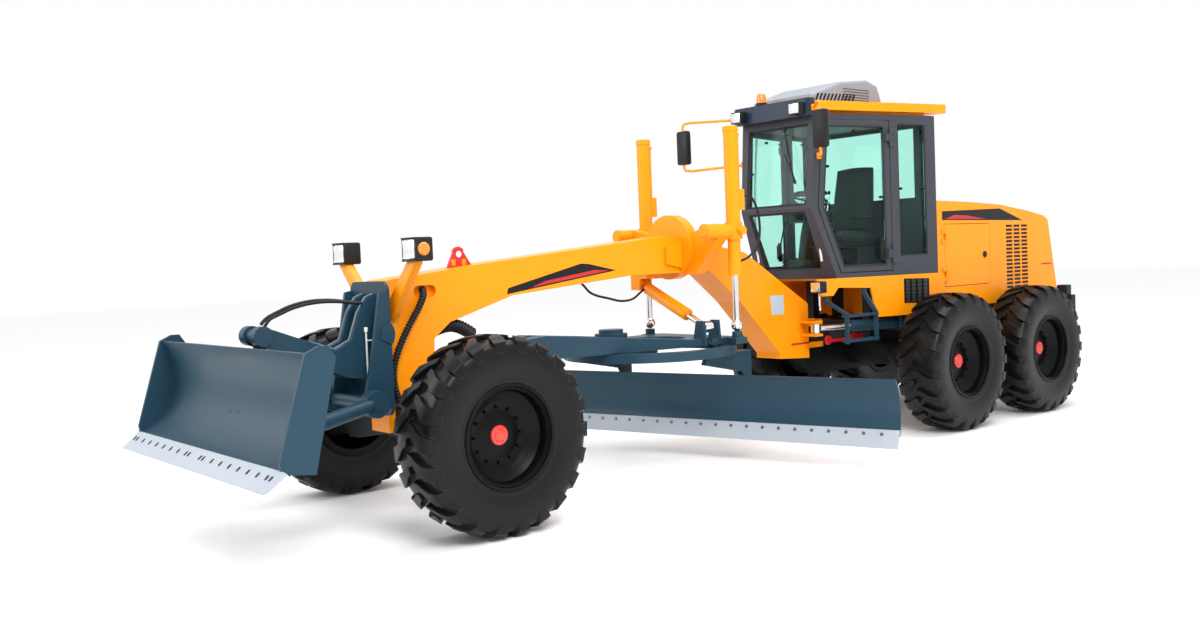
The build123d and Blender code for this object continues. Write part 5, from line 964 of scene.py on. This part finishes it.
@dataclass
class FrontFrame(Assembly):
    """Stripes, lamps, bolts and hoses on the front frame and its tower."""

    body = "front_body"
    half: float = 0.150
    rib_step: float = 0.006
    rib_crest: float = 0.002
    rib_valley: float = -0.003
    stay_y: float = 0.125

    def build_lamps(self) -> None:
        """Head lamps on raked arms: a lipped black shell, a clear lens and a round amber signal."""
        back, face = front(110), front(252)
        near, far = 0.430, 0.610
        foot, head = 1.850, 2.005
        shells = Shape().twins((back, near, 1.845), (face - 0.012, far, 2.010), 0.014)
        for z in (foot, head):
            shells.twins((back + 0.020, near, z - 0.005), (face + 0.012, far, z + 0.005), 0.003)
        for y in (near, far):
            shells.twins((back + 0.020, y - 0.004, foot), (face + 0.002, y + 0.004, head), 0.003)
        shells.twins((face - 0.014, near, 1.848), (face - 0.006, far, 2.008), 0.002)
        lenses = Shape().twins((face - 0.009, near + 0.012, 1.862), (face + 0.002, far - 0.014, 1.994), 0.012)
        ambers, arms = Shape(), Shape()
        x, inner = face - 0.060, self.half + 0.0005
        outline = (
            (inner, 1.440), (inner + 0.040, 1.440), (0.560, 1.830), (0.560, 1.850), (0.450, 1.850),
            (inner, 1.560),
        )
        for sign in SIDES.values():
            ambers.rod((x, sign * (far - 0.01), 1.928), (x, sign * (far + 0.020), 1.928), 0.046, 24, 0.008)
            arms.prism([(front(170), sign * y, z) for y, z in outline], (0.060, 0, 0), 0.004)
        self.put("head_lamp_arms", arms, YELLOW, replaces=("head_lamps",))
        self.put("head_lamp_shells", shells, BLACK_PLASTIC)
        self.put("head_lamp_lenses", lenses, REFLECTOR)
        self.put("head_lamp_ambers", ambers, AMBER)

    def build_stripes(self) -> None:
        """Swept stripe along both sides of the beam, from points ahead of the front axle."""
        black = [(-812, 1.566), (-824, 1.612), (-1560, 1.778), (-1640, 1.772), (-1935, 1.709)]
        red = [(-1050, 1.608), (-1180, 1.650), (-1700, 1.720), (-1860, 1.710)]
        for side, sign in SIDES.items():
            for name, points, thick, finish in (
                ("beam_stripe", black, 0.0012, STRIPE_BLACK), ("beam_stripe_line", red, 0.002, RED_PAINT),
            ):
                outline = [(front(x), z) for x, z in points]
                shape = Shape().plate(outline, sign * (self.half + 0.0006), sign * thick)
                self.put(f"{name}_{side}", shape, finish)

    def build_bolts(self) -> None:
        """Bolts down both edges of the tower's back plate."""
        bolt = Shape().rod((0, 0, 0), (0.014, 0, 0), 0.013, 6, 0.003)
        rows = Repeat.grid(bolt, (2, 4), ((0, 0.40, 0), (0, 0, 0.12)))
        self.put("tower_bolts", rows, SLATE, place=Matrix.Translation((front(302), -0.20, 0.86)))

    def build_tower(self) -> None:
        """Fan gusset, pipes, painted shade in the slot, and stay rod of the tower."""
        x = front(376)
        fan = [(x - 0.010, 1.372), (x - 0.090, 1.430)]
        for k in range(9):
            turn = radians(140 + k * 10)
            fan.append((x + 0.125 * cos(turn), 1.342 + 0.125 * sin(turn) * 0.95))
        fan.append((x - 0.010, 1.312))
        self.put("tower_fan_gusset", Shape().plate(fan, 0.2684, 0.008), SLATE)
        pipes = Shape()
        route = [
            (310, 1.628), (374, 1.605), (443, 1.503), (513, 1.312), (632, 1.259), (800, 1.322), (806, 1.300),
        ]
        for y in (-0.0775, 0.0775):
            pipes.tube([(front(x), y, z) for x, z in route], 0.0055, 8)
        self.put("tower_pipes", pipes, PIPE_STEEL)
        # a thin black sheet at the back of the slot's recess: painted shade, standing for the shadow inside
        # the slot
        slot = [(front(285.5), y, z) for y, z in oblong(24, 0.0245, 0.030, (-0.130, 1.553))]
        self.put("tower_slot_shade", Shape().prism(slot, (0.004, 0, 0)), STRIPE_BLACK)
        x, y = front(400), self.stay_y
        rod = Shape().rod((x, y, 1.376), (x, y, 0.965), 0.007, 10)
        for low, high in ((1.360, 1.395), (0.950, 0.985)):
            rod.rod((x, y, low), (x, y, high), 0.014, 12, 0.003)
        for z in (1.300, 1.020):
            rod.rod((front(300), y, z), (front(402), y, z), 0.006, 8)
        self.put("tower_stay", rod, WHITE_PAINT)

    def build_eye(self) -> None:
        """Red lifting eye with yellow bands on the beam's top."""
        outline = [(front(-373), 1.760), (front(-380), 1.800), (front(-430), 1.905)]
        x = front(-475)
        for k in range(7):
            turn = radians(30 + k * 20)
            outline.append((x + 0.052 * cos(turn), 1.895 + 0.052 * sin(turn)))
        outline += [(front(-520), 1.905), (front(-570), 1.830), (front(-592), 1.800)]
        self.put("lifting_eye", Shape().plate(outline, -0.014, 0.028, 0.002), RED_PAINT)
        hole = Shape().rod((x, -0.0150, 1.890), (x, 0.0150, 1.890), 0.024, 20)
        self.put("lifting_eye_bore", hole, WHITE_PAINT)
        bands = Shape()
        for x in (-425, -520):
            bands.box((front(x) - 0.018, -0.0152, 1.802), (front(x) + 0.018, 0.0152, 1.850), 0.001)
        self.put("lifting_eye_bands", bands, YELLOW)

    def build_neck(self) -> None:
        """Blank label plate, red lock link and its bar at the articulation, boot behind the leg."""
        label = [(-0.512, 1.392), (-0.702, 1.390), (-0.706, 1.207), (-0.530, 1.209)]
        self.put("neck_label", Shape().plate(label, 0.1506, 0.0015), LABEL_GREY)
        bar = Shape().box((-1.060, 0.150, 0.896), (-0.800, 0.156, 0.912), 0.001)
        self.put("neck_lock_line", bar, RED_PAINT)
        link = Shape()
        for x in (-1.160, -1.560):
            link.rod((x, 0.300, 0.925), (x, 0.322, 0.925), 0.046, 24, 0.003)
        link.box((-1.560, 0.302, 0.900), (-1.160, 0.320, 0.930), 0.003)
        link.box((-1.705, 0.300, 0.895), (-1.560, 0.320, 0.955), 0.003)
        self.put("lock_link", link, RED_PAINT, "rear_body")
        start, run, drop, arch, rings = 3.150, 0.33, 0.06, 0.05, 29
        path = []
        for k in range(rings):
            share = k / (rings - 1)
            path.append((start - run * share, 0.085, 1.335 - drop * share + arch * sin(share * pi)))
        radii = [0.052 if k % 2 else 0.043 for k in range(rings)]
        self.put("leg_boot", Shape().tube(path, radii, 20), HOSE_BLACK)

    def build_bosses(self) -> None:
        """Turned caps on the saddle's bosses."""
        profile = [(0.0, -0.004), (0.052, -0.004), (0.052, 0.006), (0.046, 0.012), (0.0, 0.012)]
        for side, sign in SIDES.items():
            cap = Shape().lathe(profile, (SADDLE_X + 0.165, sign * 0.560, 2.005), Axis.X, 32)
            self.put(f"saddle_boss_cap_{side}", cap, YELLOW)

    def build_hoses(self) -> None:
        """The ribbed hose down the leg, the pair to the forward arm, and the hoses of two cylinders."""
        leg = [
            (front(-80), 0.110, 1.645), (front(-66), 0.170, 1.618), (front(-5), 0.201, 1.525),
            (front(105), 0.200, 1.373), (front(187), 0.197, 1.225), (front(232), 0.193, 1.100),
            (front(233), 0.188, 0.990), (front(210), 0.186, 0.890), (front(168), 0.184, 0.798),
        ]
        over = [
            (front(302.6), 0.024, 1.567), (front(420), 0.024, 1.567), (front(585), 0.030, 1.598),
            (front(755), 0.042, 1.604), (front(915), 0.054, 1.580), (front(1040), 0.066, 1.532),
            (front(1118), 0.074, 1.500), (front(1147), 0.078, 1.464),
        ]
        beside = [(x, y + 0.052, z - 0.012 * sin(pi * k / 7)) for k, (x, y, z) in enumerate(over)]
        beside[-1] = (front(1140), 0.118, 1.448)
        bend = (
            (LIFT_X - 0.117, 2.300), (0.225, 2.320), (0.130, 2.290), (0.070, 2.160), (0.050, 2.020),
            (0.080, 1.880), (0.190, 1.780), (0.290, 1.745), (0.342, 1.740),
        )
        loop = [(x, 0.560, z) for x, z in bend]
        under = [
            (1.760, 0.080, 1.640), (1.715, 0.090, 1.600), (1.655, 0.090, 1.535), (1.560, 0.080, 1.500),
            (1.450, 0.060, 1.480), (1.340, 0.020, 1.460), (1.230, -0.030, 1.440), (1.060, -0.110, 1.432),
            (0.900, -0.200, 1.445), (0.780, -0.270, 1.480), (0.700, -0.290, 1.515),
        ]
        # name, route, diameter, node that it stands for
        for name, points, diameter, nodes in (
            ("leg_hose_tube", leg, 0.048, ("leg_hose",)),
            ("arm_hose_tube", over, 0.024, ("dozer_hose",)),
            ("arm_hose_second", beside, 0.022, ()),
            ("lift_hose", loop, 0.022, ()),
            ("beam_hose", under, 0.020, ()),
        ):
            line, length = self.follow(points)
            path, radii = line, [diameter / 2] * len(line)
            if points is leg:
                path, radii = self.ribbed(line, length, diameter / 2)
            piece = self.put(name, Shape().tube(path, radii, 14), HOSE_BLACK, replaces=nodes)

    @staticmethod
    def follow(points: list[Point]) -> tuple[list[Vector], float]:
        """Read a smooth line off a spline through control points.

        Args:
            points: The route's points.

        Returns:
            The points along the smooth line, and its length.
        """
        curve = bpy.data.curves.new("route", "CURVE")
        curve.dimensions = "3D"
        spline = curve.splines.new("NURBS")
        spline.points.add(len(points) - 1)
        for slot, point in zip(spline.points, points):
            slot.co = (*point, 1.0)
        spline.order_u = 3
        spline.use_endpoint_u = True
        spline.resolution_u = 12
        line = [v.co.copy() for v in evaluated(in_scene("route", curve)).vertices]
        return line, sum((b - a).length for a, b in zip(line, line[1:]))

    def ribbed(self, line: list[Vector], length: float, radius: float) -> tuple[list[Vector], list[float]]:
        """Ribs along a line: closely spaced points whose radius goes in and out."""
        count = int(length / self.rib_step)
        path, radii = [], []
        stops = [0.0]
        for a, b in zip(line, line[1:]):
            stops.append(stops[-1] + (b - a).length)
        k = 0
        for i in range(count + 1):
            at = stops[-1] * i / count
            while k < len(stops) - 2 and stops[k + 1] < at:
                k += 1
            share = (at - stops[k]) / max(1e-9, stops[k + 1] - stops[k])
            path.append(line[k].lerp(line[k + 1], share))
            radii.append(radius + (self.rib_crest if i % 4 in (1, 2) else self.rib_valley))
        return path, radii

    def build(self) -> None:
        """Make all pieces of the front frame."""
        self.build_hoses()
        self.build_lamps()
        self.build_stripes()
        self.build_bolts()
        self.build_tower()
        self.build_eye()
        self.build_neck()
        self.build_bosses()


@dataclass
class Blades(Assembly):
    """Bolt rows of both blades, the circle's teeth and the pale cutting edges."""

    turn: float = 15.2
    circle_x: float = 0.9205
    left: float = 2.111
    right: float = -1.959
    edge_slope: float = radians(-49.8)

    def build(self) -> None:
        """Make the pieces that ride on the dozer, the moldboard and the circle."""
        place = Matrix.Translation((self.circle_x, 0, 0)) @ Matrix.Rotation(radians(self.turn), 4, "Z")
        section = [(-0.3625, 0.3405), (-0.3425, 0.3405), (-0.2815, 0.1995), (-0.3015, 0.1995)]
        edge = Shape().plate(section, self.right - 0.001, self.left - self.right + 0.002)
        self.put("moldboard_edge", edge, EDGE_STEEL, "moldboard", place=place)
        head = Shape().rod((0, 0, 0), (0.010, 0, 0.003), 0.014, 12, 0.002)
        bolts = Repeat.row(head, 26, (0, 0.152, 0))
        first = place @ Matrix.Translation((-0.331, self.right + 0.13, 0.305))
        self.put("moldboard_bolts", bolts, GREASED_STEEL, "moldboard", place=first)
        gap = ((-0.698, -0.016), (-0.672, -0.009), (-0.672, 0.009), (-0.698, 0.016))
        tooth = Shape().prism([(x, y, 0.948) for x, y in gap], (0, 0, 0.022))
        teeth = Repeat.ring(tooth, 80, Axis.Z)
        self.put("circle_teeth", teeth, GREASED_STEEL, "circle", place=place)
        foot = [(1537, 0.6619), (1561.5, 0.6822), (1691.5, 0.5722), (1669, 0.5718)]
        pale = Shape().plate([(front(x), z) for x, z in foot], -1.261, 2.522)
        self.put("dozer_edge", pale, EDGE_STEEL, "dozer")
        # name, Y of the first slot, count, step
        groups = (("middle", 0.100, 2, 0.055), ("row", 0.300, 6, 0.142), ("end", 1.140, 2, 0.055))
        for side, sign in SIDES.items():
            for name, y, count, step in groups:
                hole = Shape().prism([(0.0, a, b) for a, b in oblong(16, 0.012, 0.007)], (0.003, 0, 0))
                row = Repeat.row(hole, count, (0, sign * step, 0))
                at = Matrix.Translation((front(1610), sign * y, 0.6407))
                tilt = at @ Matrix.Rotation(self.edge_slope, 4, "Y")
                self.put(f"dozer_edge_slots_{name}_{side}", row, STRIPE_BLACK, "dozer", place=tilt)


@dataclass
class Studio:
    """Pale floor, soft lights and the camera that took the photograph."""

    eye: Point = (7.49649, 7.20755, 1.8095)
    yaw: float = 39.89
    pitch: float = 2.71
    roll: float = -2.36
    focal_px: float = 1111.14
    width_px: int = 1200
    sensor: float = 36.0
    reach: float = 60.0
    paleness: float = 0.96
    floor_roughness: float = 0.7

    def camera(self) -> None:
        """Make the camera."""
        yaw, pitch, roll = (radians(v) for v in (self.yaw, self.pitch, self.roll))
        ahead = Vector((-sin(yaw) * cos(pitch), -cos(yaw) * cos(pitch), -sin(pitch)))
        level = Vector((-cos(yaw), sin(yaw), 0))
        upright = level.cross(ahead)
        right = level * cos(roll) + upright * sin(roll)
        up = upright * cos(roll) - level * sin(roll)
        data = bpy.data.cameras.new("camera")
        data.sensor_width = self.sensor
        data.lens = self.focal_px / self.width_px * self.sensor
        data.clip_end = 200
        camera = in_scene("camera", data)
        turn = Matrix((right, up, -ahead)).transposed().to_4x4()
        camera.matrix_world = Matrix.Translation(self.eye) @ turn
        bpy.context.scene.camera = camera

    def floor(self) -> None:
        """Make the pale floor."""
        data = Shape().box((-self.reach, -self.reach, -0.02), (self.reach, self.reach, 0.0)).mesh("floor")
        floor = in_scene("floor", data)
        material = bpy.data.materials.new("pale_floor")
        material.use_nodes = True
        shader = material.node_tree.nodes["Principled BSDF"]
        shader.inputs["Base Color"].default_value = (self.paleness, self.paleness, self.paleness, 1.0)
        shader.inputs["Roughness"].default_value = self.floor_roughness
        data.materials.append(material)

    def lights(self) -> None:
        """Make the soft square lights."""
        # name, place, aim, side in metres, power in watts
        for name, at, to, size, power in (
            ("key", (6.0, 9.0, 10.0), (0.5, 0, 1.0), 6.0, 1250),
            ("fill", (10.0, -6.0, 6.0), (1.0, 0, 1.0), 6.0, 400),
            ("top", (-2.0, 1.0, 12.0), (-1.0, 0, 1.0), 8.0, 800),
        ):
            data = bpy.data.lights.new(name, "AREA")
            data.size = size
            data.energy = power
            light = in_scene(name, data)
            light.location = at
            light.rotation_euler = (Vector(to) - Vector(at)).to_track_quat("-Z", "Y").to_euler()

    def build(self) -> None:
        """Make camera, floor, lights and the white surround."""
        self.camera()
        self.floor()
        self.lights()
        world = bpy.data.worlds.new("surround")
        bpy.context.scene.world = world
        world.use_nodes = True
        background = world.node_tree.nodes["Background"].inputs
        background["Color"].default_value = (1.0, 1.0, 1.0, 1.0)
        background["Strength"].default_value = 1.0
        bpy.context.scene.view_settings.view_transform = "Standard"


class Dresser:
    """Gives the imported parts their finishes."""

    FINISHES: dict[str, Finish | ClearFinish] = {
        "tyre": TYRE_RUBBER, "rim_black": RIM_BLACK, "yellow": YELLOW, "slate": SLATE, "glass": CAB_GLASS,
        "black_frame": FRAME_BLACK, "cab_grey": CAB_GREY, "visor": VISOR_NAVY, "pale_grey": PALE_GREY,
        "chrome": CHROME, "hose": HOSE_BLACK, "seat_cloth": SEAT_CLOTH, "lamp": REFLECTOR,
    }

    def build(self) -> None:
        """Assign a finish to every node by its slot, and glass to the door panes."""
        slots = {part["node"]: part["material_slot"] for part in frame["record"]["subparts"]}
        for name, node in frame["nodes"].items():
            node.data.materials.clear()
            node.data.materials.append(self.FINISHES[slots[name]].material())
        self.panes()

    def panes(self) -> None:
        """Put glass on the panes of the door nodes: the islands with the fewest faces."""
        for side in SIDES:
            node = frame["nodes"][f"cab_door_{side}"]
            node.data.materials.append(CAB_GLASS.material())
            shape = bmesh.new()
            shape.from_mesh(node.data)
            bmesh.ops.remove_doubles(shape, verts=shape.verts[:], dist=1e-5)
            shape.faces.ensure_lookup_table()
            for index in min(self.islands(shape), key=len):
                node.data.polygons[index].material_index = 1
            shape.free()

    @staticmethod
    def islands(shape: BMesh) -> list[list[int]]:
        """Indices of the faces of each connected group."""
        seen: set[int] = set()
        found = []
        for face in shape.faces:
            if face.index in seen:
                continue
            stack, members = [face], []
            seen.add(face.index)
            while stack:
                here = stack.pop()
                members.append(here.index)
                for other in (f for edge in here.edges for f in edge.link_faces):
                    if other.index not in seen:
                        seen.add(other.index)
                        stack.append(other)
            found.append(members)
        return found


def main() -> None:
    """Build everything in order."""
    Studio().build()
    Dresser().build()
    for assembly in (FrontFrame(), Wheels(), Hood(), Cab(), Blades()):
        assembly.build()


if __name__ == "__main__":
    main()
